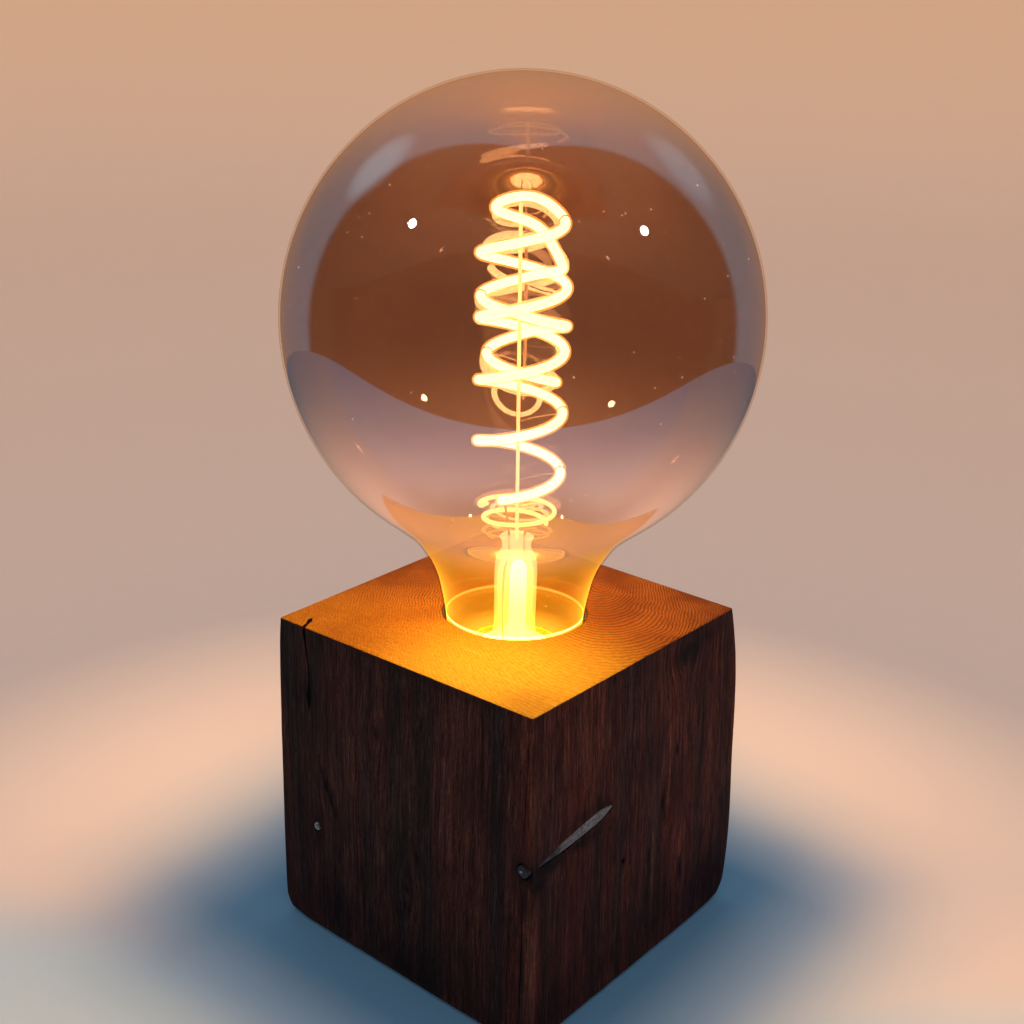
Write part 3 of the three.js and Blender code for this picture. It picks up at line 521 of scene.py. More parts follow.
def end_grain():
    """Sawn and oiled end grain: growth rings round the pith, saw scratches, darker patches, and a painted
    highlight towards the front corner.
    """
    g = new_material("timber_end_grain")
    place = g.place()
    bent = g.warp(g.warp(g.warp(place, 38, 5.0), 130, 2.2), 420, 0.6)
    spoke = (bent - metres(*PITH, 0)) * (1, 1, 0)
    rings = g.math("FRACT", ring_distance(g, spoke) / (RING_WIDTH * MM))
    line = g.ramp(rings, [(0.0, 0.25), (0.32, 0.0), (0.55, 0.5), (0.76, 1.0), (1.0, 0.25)])

    # Oiled sapwood, with the rings fainter towards the front, where the painted highlight washes them out
    patch = g.noise(place, 60, 3)
    strength = g.span(patch, 0.3, 0.7, 0.7, 1.0) * g.over(place[1], -40, 0, 0.32, 1.0)
    strength *= g.span(g.noise(place, 900, 2), 0.3, 0.55, 0.5, 1.0)
    gold, amber, ring_brown = (0.190, 0.078, 0.0035), (0.118, 0.042, 0.0022), (0.018, 0.0045, 0.0008)
    wood = g.mix(g.span(g.noise(place, 26, 2), 0.35, 0.65), gold, amber)
    wood = g.mix(line * strength, wood, ring_brown)
    fibre = g.noise(place, 2600, 2)
    wood = g.mix(g.span(fibre, 0.35, 0.72, 0.0, 0.5), wood, (0.035, 0.010, 0.002))
    mottle = g.noise(bent * (1, 1, 0), 700, 4, 0.7)
    wood = g.mix(g.span(mottle, 0.40, 0.70, 0.0, 0.35), wood, (0.050, 0.016, 0.002))

    # Redder heartwood with darker rings, towards the back
    away = g.math("MAXIMUM", g.dot(place, (0.12, 0.99, 0)), g.dot(place, BACK))
    redder = g.span(g.noise(place, 75, 3), 0.38, 0.62)
    heartwood = g.mix(redder, (0.100, 0.0290, 0.0055), (0.056, 0.0120, 0.0036))
    broken = line * g.span(g.noise(place, 1500, 2), 0.35, 0.60, 0.7, 1.0)
    heartwood = g.mix(broken, heartwood, (0.003, 0.0008, 0.0005))
    wood = g.mix(g.over(away, -12, 36, 0.0, 0.88), wood, heartwood)

    # Painted highlight, scratches and a stain towards the front corner
    front = g.length(place - metres(*FRONT_PAINTED_HIGHLIGHT, BLOCK_TOP))
    # Painted highlight: paler, yellower wood round the front corner
    worn = g.over(front, 4, 47, 0.75, 0.0) * g.span(mottle, 0.35, 0.70, 1.0, 0.7)
    worn *= g.span(line, 0.0, 1.0, 1.0, 0.8)
    wood = g.mix(worn, wood, (0.330, 0.205, 0.020))
    sawn = g.noise(g.mapped(place, (0, 0, 51), (0.03, 1, 1)), 2200, 1)
    crossed = g.noise(g.mapped(place, (0, 0, -28), (0.03, 1, 1)), 1800, 1)
    scratches = g.span(sawn, 0.62, 0.75) + g.span(crossed, 0.66, 0.78)
    marks = scratches * g.over(front, 10, 55, 0.3, 0.0)
    wood = g.mix(marks, wood, (0.40, 0.26, 0.045))
    corner = g.length(place - metres(*CORNER_STAIN, BLOCK_TOP))
    wood = g.mix(g.over(corner + patch * (12 * MM), 6, 17, 0.3, 0.0), wood, (0.055, 0.016, 0.006))
    g.set("Base Color", wood)
    g.bump(line * -0.5 - marks * 0.6 + fibre * 0.5, 0.12, 0.7)
    g.set("Roughness", g.span(fibre, 0.2, 0.8, 0.45, 0.6))
    g.set("Specular IOR Level", 0.03)
    return g.material


def long_grain():
    """Weathered sides: fine upright streaks that bend round the knots, with iron stains, and painted
    shade towards the foot.
    """
    g = new_material("timber_long_grain")
    place = g.place()
    grain = g.attribute("grain", "Vector")
    slow = g.noise(grain * (1, 1, 0.05), 130, 3)
    streak = g.noise(grain * (1, 1, 0.035), 800, 3, 0.6)
    fine = g.noise(grain * (1, 1, 0.07), 2300, 2, 0.6)
    grit = g.noise(grain * (1, 1, 0.22), 3600, 2)
    pores = g.noise(grain * (1, 1, 0.09), 1500, 2)
    cloud = g.noise(place, 40, 3)
    mixed = streak * 0.34 + fine * 0.42 + grit * 0.24
    wood = g.ramp(mixed, [
        (0.36, (0.0075, 0.0034, 0.0030)),
        (0.46, (0.0170, 0.0074, 0.0061)),
        (0.54, (0.0275, 0.0122, 0.0100)),
        (0.66, (0.0600, 0.0285, 0.0210)),
    ])
    red, brown, right_side = (1.42, 1.0, 0.86), (0.80, 0.90, 0.86), (1.66, 1.17, 1.02)
    wood = g.mix(g.span(slow, 0.38, 0.62), g.tinted(wood, brown), g.tinted(wood, red))
    wood = g.mix(g.over(place[0], 35, 44), wood, g.tinted(wood, right_side))
    wood = g.mix(g.span(cloud, 0.35, 0.7, 0.0, 0.4), wood, (0.008, 0.0045, 0.004))
    split = g.span(pores, 0.66, 0.72)
    wood = g.mix(split * 0.8, wood, (0.003, 0.002, 0.002))
    # Painted shade: the sides darken towards the foot
    foot = g.over(place[2], 0, 45, 0.35, 0.0)
    wood = g.mix(foot, wood, (0.0052, 0.0040, 0.0040))
    wood = g.mix(g.attribute("worn"), wood, g.tinted(wood, (2.6, 2.7, 2.5)))
    wood = g.mix(g.attribute("stain"), wood, (0.0028, 0.0022, 0.0022))
    g.set("Base Color", wood)
    g.bump(mixed - split * 0.4, 0.45, 0.8)
    g.set("Roughness", g.span(streak, 0.3, 0.7, 0.75, 0.6))
    g.set("Specular IOR Level", 0.05)
    return g.material


def cut_wood(name, light, dark, scale):
    """Wood where a tool or a split opened it, in the colours given: raw where bored, and dark as painted
    shade in splits.
    """
    g = new_material(name, 0.85)
    marks = g.noise(g.place() * (1, 1, 0.3), scale, 3, 0.6)
    g.set("Base Color", g.ramp(marks, [(0.3, dark), (0.7, light)]))
    g.bump(marks, 0.15, 0.6)
    return g.material


def arris_at(arris, share):
    """Where an upright arris is at a share of the block's height: it swells towards the middle."""
    swelling = 1 - (2 * share - 1) ** 4
    return [
        foot + (top - foot) * share + swell * swelling
        for foot, top, swell in zip(arris["foot"], arris["top"], arris["swell"])
    ]


def share_at(height):
    return (height - BLOCK_FOOT) / (BLOCK_TOP - BLOCK_FOOT)


def block_points(across, along, share):
    """Points of the block from their places across, along and up it, each from 0 to 1."""
    front_left, front_right, back_right, back_left = (arris_at(a, share) for a in ARRISES)
    flat = [
        (front_left[i] * (1 - across) + front_right[i] * across) * (1 - along)
        + (back_left[i] * (1 - across) + back_right[i] * across) * along
        for i in (0, 1)
    ]
    height = BLOCK_FOOT + (BLOCK_TOP - BLOCK_FOOT) * share
    return np.stack([flat[0], flat[1], np.full_like(flat[0], height)], axis=-1)


def right_face(y, z):
    """How far out the right face is, in x, at a place on it."""
    low, high = (arris_at(ARRISES[i], share_at(z)) for i in (1, 2))
    return low[0] + (high[0] - low[0]) * (y - low[1]) / (high[1] - low[1])


def front_face(x, z):
    """How far out the front face is, in y, at a place on it."""
    low, high = (arris_at(ARRISES[i], share_at(z)) for i in (0, 1))
    return low[1] + (high[1] - low[1]) * (x - low[0]) / (high[0] - low[0])


def outline_places():
    """Places across and along the section's outline, anticlockwise from the front left corner."""
    r = ARRIS_ROUND
    corners = (((r, r), 180), ((1 - r, r), 270), ((1 - r, 1 - r), 0), ((r, 1 - r), 90))
    places = []
    for index, (centre, start) in enumerate(corners):
        for step in range(CORNER_COLUMNS + 1):
            angle = math.radians(start + 90 * step / CORNER_COLUMNS)
            places.append((centre[0] + r * math.cos(angle), centre[1] + r * math.sin(angle)))
        after, turn = corners[(index + 1) % 4]
        first = places[-1]
        angle = math.radians(turn)
        last = (after[0] + r * math.cos(angle), after[1] + r * math.sin(angle))
        for step in range(1, SIDE_COLUMNS):
            share = step / SIDE_COLUMNS
            places.append(tuple(a + (b - a) * share for a, b in zip(first, last)))
    return np.array(places)


def wavy(points, scale, seed):
    """Noise from -1 to 1 at points in millimetres."""
    shift = Vector((seed * 17.3, seed * 5.1, seed * 9.7))
    return np.array([noise.noise(Vector(p) / scale + shift) for p in points])


def block_rings():
    """The rings of points that make the whole block, and the material of the band after each."""
    across, along = outline_places().T
    top = block_points(across, along, 1.0)
    angles = np.arctan2(top[:, 1], top[:, 0])
    circle = np.stack([np.cos(angles), np.sin(angles)], axis=-1)
    square = circle / np.abs(circle).max(axis=1)[:, None]
    end, side, bore, split = range(4)

    def flat(shape, size, height):
        return np.column_stack([shape * size, np.full(len(shape), height)])

    # Nipple hole, wiring recess and the plate's rebate
    rings = [
        (flat(circle, NIPPLE_HOLE, BORE_FLOOR), bore),
        (flat(circle, NIPPLE_HOLE, WEB_BOTTOM), bore),
        (flat(square, RECESS_HALF, WEB_BOTTOM), bore),
        (flat(square, RECESS_HALF, REBATE_TOP), bore),
        (flat(square, REBATE_HALF, REBATE_TOP), bore),
    ]

    # Foot, from the rebate out to its broken edge
    foot = block_points(across, along, 0.0)
    inner = flat(square, REBATE_HALF, BLOCK_FOOT)
    inset = 1 - FOOT_EDGE / np.linalg.norm(foot[:, :2], axis=1)[:, None]
    foot_edge = foot * np.column_stack([inset, inset, np.ones(len(foot))])
    for share in np.linspace(0, 1, FOOT_ROWS):
        rings.append((inner + (foot_edge - inner) * share, end))

    # Sides
    rings.append((block_points(across, along, share_at(BLOCK_FOOT + 0.3)), side))
    side_start = len(rings) - 1
    for share in np.linspace(0, 1, SIDE_ROWS + 1)[1:-1]:
        rings.append((block_points(across, along, share), side))
    rings.append((block_points(across, along, share_at(BLOCK_TOP - EDGE_ROUND)), side))
    side_end = len(rings) - 1

    # Worn top edge
    length = np.linalg.norm(top[:, :2], axis=1)[:, None]
    worn = 0.5 + 0.5 * wavy(top, 7.0, 3)[:, None] + 0.35 * wavy(top, 2.0, 4)[:, None]
    for drop, inward in ((0.3, 0.12), (0.3, 0.5), (0.0, 1.0)):
        inset = EDGE_ROUND * inward * (0.5 + np.clip(worn, 0, 2))
        ring = top.copy()
        ring[:, :2] *= 1 - inset / length
        ring[:, 2] -= EDGE_ROUND * drop
        rings.append((ring, end))

    # Top, the bore's worn rim with a painted dark shade, and the bore
    last = rings[-1][0]
    rim = flat(circle, BORE_RADIUS + WORN_SHADED_RIM, BLOCK_TOP)
    for share in np.linspace(0, 1, TOP_ROWS)[1:]:
        rings.append((last + (rim - last) * share, end))
    # The rim's bevel takes the dark split material, as a painted shade line at the glass
    rings[-1] = (rings[-1][0], split)
    rings.append((flat(circle, BORE_RADIUS + WORN_SHADED_RIM / 6, BLOCK_TOP - 0.15), bore))
    for height in np.linspace(BLOCK_TOP - 0.3, BORE_FLOOR, BORE_ROWS):
        rings.append((flat(circle, BORE_RADIUS, height), bore))
    return rings, side_start, side_end


def relief(rings, side_start, side_end):
    """Gives the sides the slow waves and shallow hollows of hand hewn wood."""
    for index in range(side_start - FOOT_ROWS, side_end + 1):
        ring = rings[index][0]
        ahead = np.roll(ring, -1, axis=0) - np.roll(ring, 1, axis=0)
        outward = np.stack([ahead[:, 1], -ahead[:, 0]], axis=-1)
        outward /= np.linalg.norm(outward, axis=1)[:, None]
        if index >= side_start:
            upright = ring * (1, 1, 0.25)
            wave = 0.22 * wavy(ring, 26, 1) + 0.10 * wavy(upright, 4.5, 2) + 0.05 * wavy(upright, 1.8, 5)
            ring[:, :2] += outward * np.reshape(wave - 0.06, (-1, 1))
        for x, y, depth, tall in FOOT_CHIPS:
            near = np.exp(-((ring[:, 0] - x) / 6) ** 2 - ((ring[:, 1] - y) / 6) ** 2)
            moved = depth * near * np.clip(1 - ring[:, 2] / tall, 0, 1) ** 1.5
            ring[:, :2] -= moved[:, None] * np.array([x, y]) / math.hypot(x, y)


def near_mark(across, height, on_face, mark):
    """How near points are to the middle of a mark on a face, from 0 to 1."""
    place, middle, wide, tall, _ = mark
    return on_face * np.exp(-((across - place) / wide) ** 2 - ((height - middle) / tall) ** 2)


def paint_timber(mesh):
    """Writes the attributes that the long grain reads: bent places, stains and worn places."""
    co = np.empty(len(mesh.vertices) * 3)
    mesh.vertices.foreach_get("co", co)
    co = co.reshape(-1, 3) / MM
    x, y, z = co.T
    faces = {
        "front": (0, y < -44.5),
        "right": (1, x > 42.5),
        "back": (0, y > 43.0 - 0.07 * x),
        "left": (1, x < -44.0 - 0.06 * y),
    }
    bent = co.copy()
    for face, marks in KNOTS.items():
        axis, on_face = faces[face]
        for mark in marks:
            away = co[:, axis] - mark[0]
            bent[:, axis] -= mark[-1] * away * near_mark(co[:, axis], z, on_face, mark)
    bent[:, 0] += 0.35 * np.sin(z / 17.0 + y / 40.0)
    bent[:, 1] += 0.35 * np.sin(z / 15.0 + x / 40.0)
    mesh.attributes.new("grain", "FLOAT_VECTOR", "POINT").data.foreach_set(
        "vector", (bent * MM).astype(np.float32).ravel())
    for kind, table in (("stain", STAINS), ("worn", WORN)):
        strength = np.zeros(len(co))
        for face, marks in table.items():
            axis, on_face = faces[face]
            for mark in marks:
                strength = np.maximum(strength, mark[-1] * near_mark(co[:, axis], z, on_face, mark))
        mesh.attributes.new(kind, "FLOAT", "POINT").data.foreach_set(
            "value", strength.astype(np.float32))


def prism(name, levels, material):
    """A closed cutter from polygons with the same number of corners, one above the other."""
    count = len(levels[0])
    faces = ring_faces(len(levels), count)
    faces.append(tuple(range(count)))
    faces.append(tuple(range(count * (len(levels) - 1), count * len(levels))))
    return mesh_object(name, np.vstack(levels), faces, [material])


def slit(face, path, width, depth, material):
    """A lens-shaped check in a face, along a path of (place along the face, height)."""
    levels = []
    for index, (place, height) in enumerate(path):
        lens = math.sin(math.pi * (index / (len(path) - 1)))
        half = 0.5 * width * max(lens ** 0.7, 0.06)
        reach = depth * max(lens ** 0.5, 0.3)
        skew = 0.1 * half if face == "front" else 0.0
        corners = ((place - half, -1), (place + half, -1), (place + skew, reach))
        if face == "front":
            out = front_face(place, height)
            levels.append([(along, out + inward, height) for along, inward in corners])
        else:
            out = right_face(place, height)
            levels.append([(out - inward, along, height) for along, inward in corners])
    return prism("check", np.array(levels[::-1]), material)


def line(start, end, steps, wander, seed):
    """A path between two (place, height) points that wanders a little."""
    shares = np.linspace(0, 1, steps)
    path = np.array(start) + (np.array(end) - np.array(start)) * shares[:, None]
    drift = wavy(np.column_stack([shares * 9, shares * 0, shares * 0]), 1.0, seed)
    path[:, 0] += wander * drift
    return path


def seasoning_crack(material):
    """The crack that runs in from the top edge of the front face: (x, height, width) down it."""
    stations = (
        (-33.9, 95.0, 1.35), (-33.8, 91.0, 1.15), (-33.4, 87.0, 0.85), (-33.0, 82.5, 0.75),
        (-32.7, 79.0, 0.7), (-32.9, 76.8, 1.2), (-33.2, 75.2, 1.9), (-33.3, 73.4, 2.2),
        (-33.2, 71.4, 1.5), (-33.0, 69.4, 0.2),
    )
    levels = []
    for x, height, width in stations:
        near_top = np.clip((height - 84) / 10, 0, 1)
        depth = 2.2 + 4.0 * near_top
        lean = -3.6 * near_top
        half = width / 2
        out = front_face(x, height)
        middle = 0.25 + 1.1 * near_top
        levels.append([
            (x - half, out - 1, height),
            (x + half, out - 1, height),
            (x + half * 0.55 + lean * 0.5, out + depth * 0.5, height),
            (x + lean * 0.85 + middle * 0.6, out + depth * 0.8, height),
            (x + lean * 1.06, out + depth, height),
            (x + lean * 0.85 - middle * 0.6, out + depth * 0.72, height),
            (x - half * 0.55 + lean * 0.5, out + depth * 0.4, height),
        ])
    return prism("crack", np.array(levels[::-1]), material)


def nail_profile(clearance):
    """Half the nail's outline from its head to its tip, or that of its bed when it has a clearance."""
    length = (NAIL_TIP - NAIL_HEAD).length
    radius = NAIL_RADIUS + clearance
    steps = [(0, 0)] + [(radius, s) for s in np.linspace(0, length - NAIL_TAPER, 90)]
    for share in np.linspace(0, 1, 24)[1:]:
        steps.append((radius + (NAIL_BLUNT - NAIL_RADIUS) * share ** 1.4,
                      length - NAIL_TAPER * (1 - share) + clearance * share))
    return steps + [(0, length + clearance)]


def nail_pocket(material):
    """The shank's bed in the wood, torn along its lower edge."""
    axis = (NAIL_TIP - NAIL_HEAD).normalized()
    pocket = lathe("nail_pocket", nail_profile(0.16), 40, material, place=NAIL_HEAD, axis=axis)
    for vertex in pocket.data.vertices:
        point = vertex.co / MM
        along = (point - NAIL_HEAD).dot(axis)
        spoke = point - NAIL_HEAD - axis * along
        if spoke.length < 0.5 or along < 3:
            continue
        below = max(0.0, -spoke.normalized().z)
        torn = max(0.0, noise.noise(Vector((along * 0.9, 3.3, 0)))) * 0.9
        torn += max(0.0, noise.noise(Vector((along * 2.6, 8.1, 0)))) * 0.5
        vertex.co += spoke.normalized() * (below * torn * MM)
    return pocket


def cylinder_cutter(start, end, radius, material, sides=40):
    """A round cutter from one point to another."""
    axis = Vector(end) - Vector(start)
    profile = [(0, 0), (radius, 0), (radius, axis.length), (0, axis.length)]
    return lathe("cutter", profile, sides, material, place=start, axis=axis.normalized())


def carve(obj, cutters):
    """Cuts the cutters out of the object, and takes them away."""
    for cutter in cutters:
        cut = obj.modifiers.new("cut", "BOOLEAN")
        cut.operation, cut.solver, cut.object = "DIFFERENCE", "EXACT", cutter
        cut.material_mode = "TRANSFER"
    bpy.context.view_layer.update()
    evaluated = obj.evaluated_get(bpy.context.evaluated_depsgraph_get())
    mesh = bpy.data.meshes.new_from_object(evaluated)
    obj.modifiers.clear()
    obj.data = mesh
    for cutter in cutters:
        bpy.data.objects.remove(cutter)


def timber_block():
    """The block, carved with its checks, crack, bore, nail beds, screw holes and cord inlet."""
    rings, side_start, side_end = block_rings()
    relief(rings, side_start, side_end)
    around = len(rings[0][0])
    # The split material is dark as painted shade, in the checks, the crack, the nail beds and on the
    # bore's rim
    split = cut_wood("timber_split_painted_shade", (0.0060, 0.0028, 0.0020), (0.0020, 0.0012, 0.0010), 900)
    bored = cut_wood("timber_bored", (0.050, 0.024, 0.012), (0.016, 0.008, 0.005), 600)
    slots = np.repeat([slot for _, slot in rings], around)
    faces = ring_faces(len(rings), around, closed=True)
    block = mesh_object(
        "timber_block", np.vstack([ring for ring, _ in rings]), faces,
        [end_grain(), long_grain(), bored, split], slots)
    listed = [(face, *check) for face, checks in CHECKS.items() for check in checks]
    slits = [
        slit(face, line(start, end, 11, 0.35, 20 + index), width, depth, split)
        for index, (face, start, end, width, depth) in enumerate(listed)
    ]
    head_x, head_y, head_z = NAIL_HEAD
    stub_x, stub_z = SIDE_NAIL["x"], SIDE_NAIL["z"]
    hole_y, hole_z = NAIL_HOLE
    inlet, past_back = INLET_HEIGHT, 60
    cutters = [
        join_pieces("even_checks", slits[0::2]),
        join_pieces("odd_checks", slits[1::2]),
        seasoning_crack(split),
        nail_pocket(split),
        cylinder_cutter((head_x, head_y - 2, head_z), (head_x, head_y + 1.6, head_z), 2.2, split),
        cylinder_cutter((stub_x, -50, stub_z), (stub_x, SIDE_NAIL["back"] + 0.3, stub_z), 1.5, split),
        cylinder_cutter((41, hole_y, hole_z), (51, hole_y, hole_z), 0.7, split, 16),
        cylinder_cutter((0, RECESS_HALF - 2, inlet), (0, past_back, inlet), GROMMET_SLEEVE + 0.3, bored),
        cylinder_cutter((0, INLET_SEAT, inlet), (0, past_back, inlet), GROMMET_FLANGE + 0.4, bored),
    ]
    for place in SCREW_PLACES:
        cutters.append(cylinder_cutter((*place, -1), (*place, 15.3), 1.8, bored, 24))
    carve(block, cutters)
    smooth_shading(block, 38)
    paint_timber(block.data)
    settle(block, "base", "timber", "beam_block")


# Nails


def planed_iron():
    """Bright scratched iron with rust and pits, where the shank was planed with the wood; darker and
    duller towards its head end.
    """
    g = new_material("planed_iron", 0.4, 1.0)
    place = g.place()
    scratch = g.noise(g.mapped(place, (-6.5, 0, 0), (1, 0.04, 1)), 3000, 3, 0.6)
    pits = g.noise(place, 1100, 3, 0.65)
    metal = g.ramp(scratch, [(0.3, (0.13, 0.092, 0.074)), (0.7, (0.37, 0.285, 0.235))])
    # Darker, duller and less metallic towards the head end
    head_end = g.over(place[1], -38.5, -33, 0.95, 0.0)
    rust_and_dark_end = g.math("MAXIMUM", g.span(pits, 0.56, 0.66), head_end)
    colour = g.mix(rust_and_dark_end, metal, (0.075, 0.035, 0.022))
    g.set("Base Color", g.mix(head_end, colour, (0.020, 0.011, 0.009)))
    g.set("Metallic", 0.85 - rust_and_dark_end * 0.6)
    g.set("Roughness", g.span(pits, 0.3, 0.7, 0.34, 0.75))
    g.bump(scratch * 0.4 - rust_and_dark_end, 0.08, 0.6)
    return g.material


def worn_head(name, bright):
    """An iron nail head: rubbed clean in patches, rusty and dark elsewhere."""
    g = new_material(name, 0.5, 1.0)
    place = g.place()
    rubbed = g.noise(place, 520, 2)
    pits = g.noise(place, 2600, 3, 0.6)
    clean = g.span(rubbed * 0.75 + pits * 0.25, 0.42, 0.52)
    g.set("Base Color", g.mix(clean, (0.035, 0.026, 0.022), bright))
    g.set("Metallic", clean * 0.7)
    g.set("Roughness", g.span(clean, 0.0, 1.0, 0.85, 0.45))
    g.bump(pits + rubbed, 0.15, 0.7)
    return g.material


def corner_nail(iron):
    """The old nail beside the front corner: its shank is planed off just under the right face."""
    axis = (NAIL_TIP - NAIL_HEAD).normalized()
    shank = lathe("shank", nail_profile(0), 72, iron, place=NAIL_HEAD, axis=axis)
    for vertex in shank.data.vertices:
        x, y, z = vertex.co / MM
        vertex.co.x = min(x, right_face(y, z) - NAIL_SUNK) * MM
    radius, deep = NAIL_HEAD_RADIUS, NAIL_HEAD_DEPTH
    dome = [(0, deep), (radius, deep), (radius, 0.55)]
    dome += [(radius * math.cos(a), 0.5 - 0.5 * math.sin(a)) for a in np.linspace(0.15, 1.45, 9)]
    dome.append((0, 0))
    head = lathe("head", dome, 40, iron, place=NAIL_HEAD, axis=(0, 1, 0))
    for vertex in head.data.vertices:
        vertex.co += vertex.co.normalized() * noise.noise(vertex.co / (1.1 * MM)) * 0.1 * MM
    shank_faces = len(shank.data.polygons)
    nail = join_pieces("corner_nail_worn", [shank, head])
    nail.data.materials.append(worn_head("nail_head_iron", (0.62, 0.60, 0.56)))
    slots = (np.arange(len(nail.data.polygons)) >= shank_faces).astype(np.int32)
    nail.data.polygons.foreach_set("material_index", slots)
    smooth_shading(nail, 30)
    settle(nail, "base", "old_iron", "corner_nail")


def side_nail():
    """The stub of the second nail, in the front face."""
    radius, front, back = SIDE_NAIL["radius"], SIDE_NAIL["front"], SIDE_NAIL["back"]
    length = back - front
    profile = [
        (0, 0.9), (0.35, 0.8), (0.6, 0.25), (0.85, 0.0), (1.05, 0.02), (radius, 0.25),
        (radius, length - 2), (0.3, length), (0, length),
    ]
    stub = lathe("side_nail_stub", profile, 36, worn_head("side_nail_iron", (0.34, 0.32, 0.30)),
                 place=(SIDE_NAIL["x"], front + 0.1, SIDE_NAIL["z"]), axis=(0, 1, 0))
    settle(stub, "base", "old_iron", "side_nail")


# Glass


def coated_glass_painted_glow():
    """The inside of the globe: a half mirror that tints what is behind it, with a painted glow, most of
    it low down.
    """
    g = new_material("smoked_mirror_coat_painted_glow", glows=True)
    g.tree.nodes.remove(g.tree.nodes["Principled BSDF"])
    facing = g.facing()
    edge = facing ** 4.0
    height = g.place()[2]

    # The coat is thick on the globe and runs out down the neck
    mirror = (0.235 + edge * 0.15) * g.over(height, 100, 124, 0.45, 1.0)
    smoke = g.span(g.noise(g.place(), 26, 3), 0.35, 0.65)
    tint = g.mix(smoke, (0.675, 0.425, 0.285), (0.70, 0.45, 0.31))
    tint = g.mix(edge, tint, (0.30, 0.22, 0.17))
    tint = g.mix(g.over(height, 100, 124), (0.84, 0.50, 0.10), tint)
    clear = g.value("BsdfTransparent", {"Color": tint})
    gloss = g.value("BsdfAnisotropic", {"Color": (0.95, 0.93, 0.92, 1), "Roughness": 0.015})
    glass = g.value("MixShader", {0: mirror, 1: clear, 2: gloss})

    # Painted glow in the glass: in its neck, brightest at its edges there, in a haze above, in its bowl
    # and at the bore's rim
    neck = g.over(height, 94, 124, 0.13, 0.0) * (1.0 + facing ** 3.0 * 11.0)
    haze = g.over(height, 118, 162, 0.40, 0.0) * g.over(height, 107, 123)
    haze += g.over(height, 205, 237, 0.0, 0.09)
    depth = g.over(height, 85.8, 88.2)
    bowl = 0.36 + (1.0 - depth) * 0.8
    bowl *= g.over(height, 84.5, 85.6) * g.over(height, 92.5, 94, 1.0, 0.0)
    rim = g.over(height, 93, 93.7) * g.over(height, 93.8, 94.5, 1.1, 0.0)
    colour = g.mix(depth, (1.0, 0.66, 0.20), (1.0, 0.45, 0.0))
    colour = g.mix(g.over(height, 93, 97), colour, (1.0, 0.56, 0.05))
    colour = g.mix(g.over(height, 110, 126), colour, (1.0, 0.54, 0.29))
    colour = g.mix(g.math("MINIMUM", rim, 1.0), colour, (1.0, 0.80, 0.34))
    light = g.value("Emission", {"Color": colour, "Strength": neck + bowl + rim + haze})
    g.show(g.value("AddShader", {0: glass, 1: light}))
    return g.material


def clear_glass(name, tint, glow=None, edge_level=0.9, edge_tint=None):
    """Thin clear glass that mirrors a little, more so towards its edges, where it may be darker. It may
    have a painted glow, with one strength at its foot and another above.
    """
    g = new_material(name, glows=True)
    g.tree.nodes.remove(g.tree.nodes["Principled BSDF"])
    facing = g.facing()
    mirror = 0.04 + facing ** 5.0 * edge_level
    clear = g.value("BsdfTransparent", {"Color": g.mix(facing ** 7.0, tint, edge_tint or tint)})
    gloss = g.value("BsdfAnisotropic", {"Color": (1, 1, 1, 1), "Roughness": 0.02})
    glass = g.value("MixShader", {0: mirror, 1: clear, 2: gloss})
    if glow is not None:
        colour, at_foot, above = glow
        strength = g.over(g.place()[2], 85, 89, at_foot, above)
        light = g.value("Emission", {"Color": (*colour, 1), "Strength": strength})
        glass = g.value("AddShader", {0: glass, 1: light})
    g.show(glass)
    return g, glass


def dusty_glass():
    """The outside of the globe: clear, with a few specks of dust that have a painted glow."""
    g, glass = clear_glass(
        "globe_outside", (1.0, 0.99, 0.98), edge_level=0.10, edge_tint=(0.80, 0.66, 0.52))
    cells = g.add("TexVoronoi", {"Vector": g.place(), "Scale": 400.0})
    chosen = g.add("SeparateColor", {0: Value(g, cells.outputs["Color"])})
    size = g.math("SUBTRACT", Value(g, chosen.outputs[0]), 0.70, use_clamp=True) * 0.38
    inside = g.math("LESS_THAN", Value(g, cells.outputs["Distance"]), size)
    speck = inside * g.span(Value(g, chosen.outputs[1]), 0.0, 1.0, 0.25, 0.8)
    # The dust specks have a painted glow
    dust_painted_glow = g.value("Emission", {"Color": (1.0, 0.66, 0.38, 1), "Strength": 0.9})
    g.show(g.value("MixShader", {0: speck, 1: glass, 2: dust_painted_glow}))
    return g.material


def globe_outline():
    """The bulb's outside from the cap to the top."""
    start = math.asin((NECK_JOIN - GLOBE_CENTRE) / GLOBE_RADIUS)

    def sphere(angle):
        return (GLOBE_RADIUS * math.cos(angle), GLOBE_CENTRE + GLOBE_RADIUS * math.sin(angle))

    neck = [
        (NECK_RADIUS, NECK_TOP), (13.7, 85.9), (18.0, 88.2), (19.45, 91.2), (19.72, BLOCK_TOP),
        (20.7, BLOCK_TOP + 6), (22.2, BLOCK_TOP + 12), (25.0, BLOCK_TOP + 18),
        (29.4, BLOCK_TOP + 24), sphere(start), sphere(start + 0.08),
    ]
    neck_points = smooth_curve(neck, 6)[:-6]
    arc = [sphere(angle) for angle in np.linspace(start, math.pi / 2, 64)[1:]]
    return np.vstack([neck_points, arc])


def inside_of(outline, wall):
    """The outline moved inwards, square to itself."""
    along = np.gradient(outline, axis=0)
    along /= np.linalg.norm(along, axis=1)[:, None]
    moved = np.stack([outline[:, 0] - along[:, 1] * wall, outline[:, 1] + along[:, 0] * wall], -1)
    moved[-1] = (0, outline[-1, 1] - wall)
    return moved


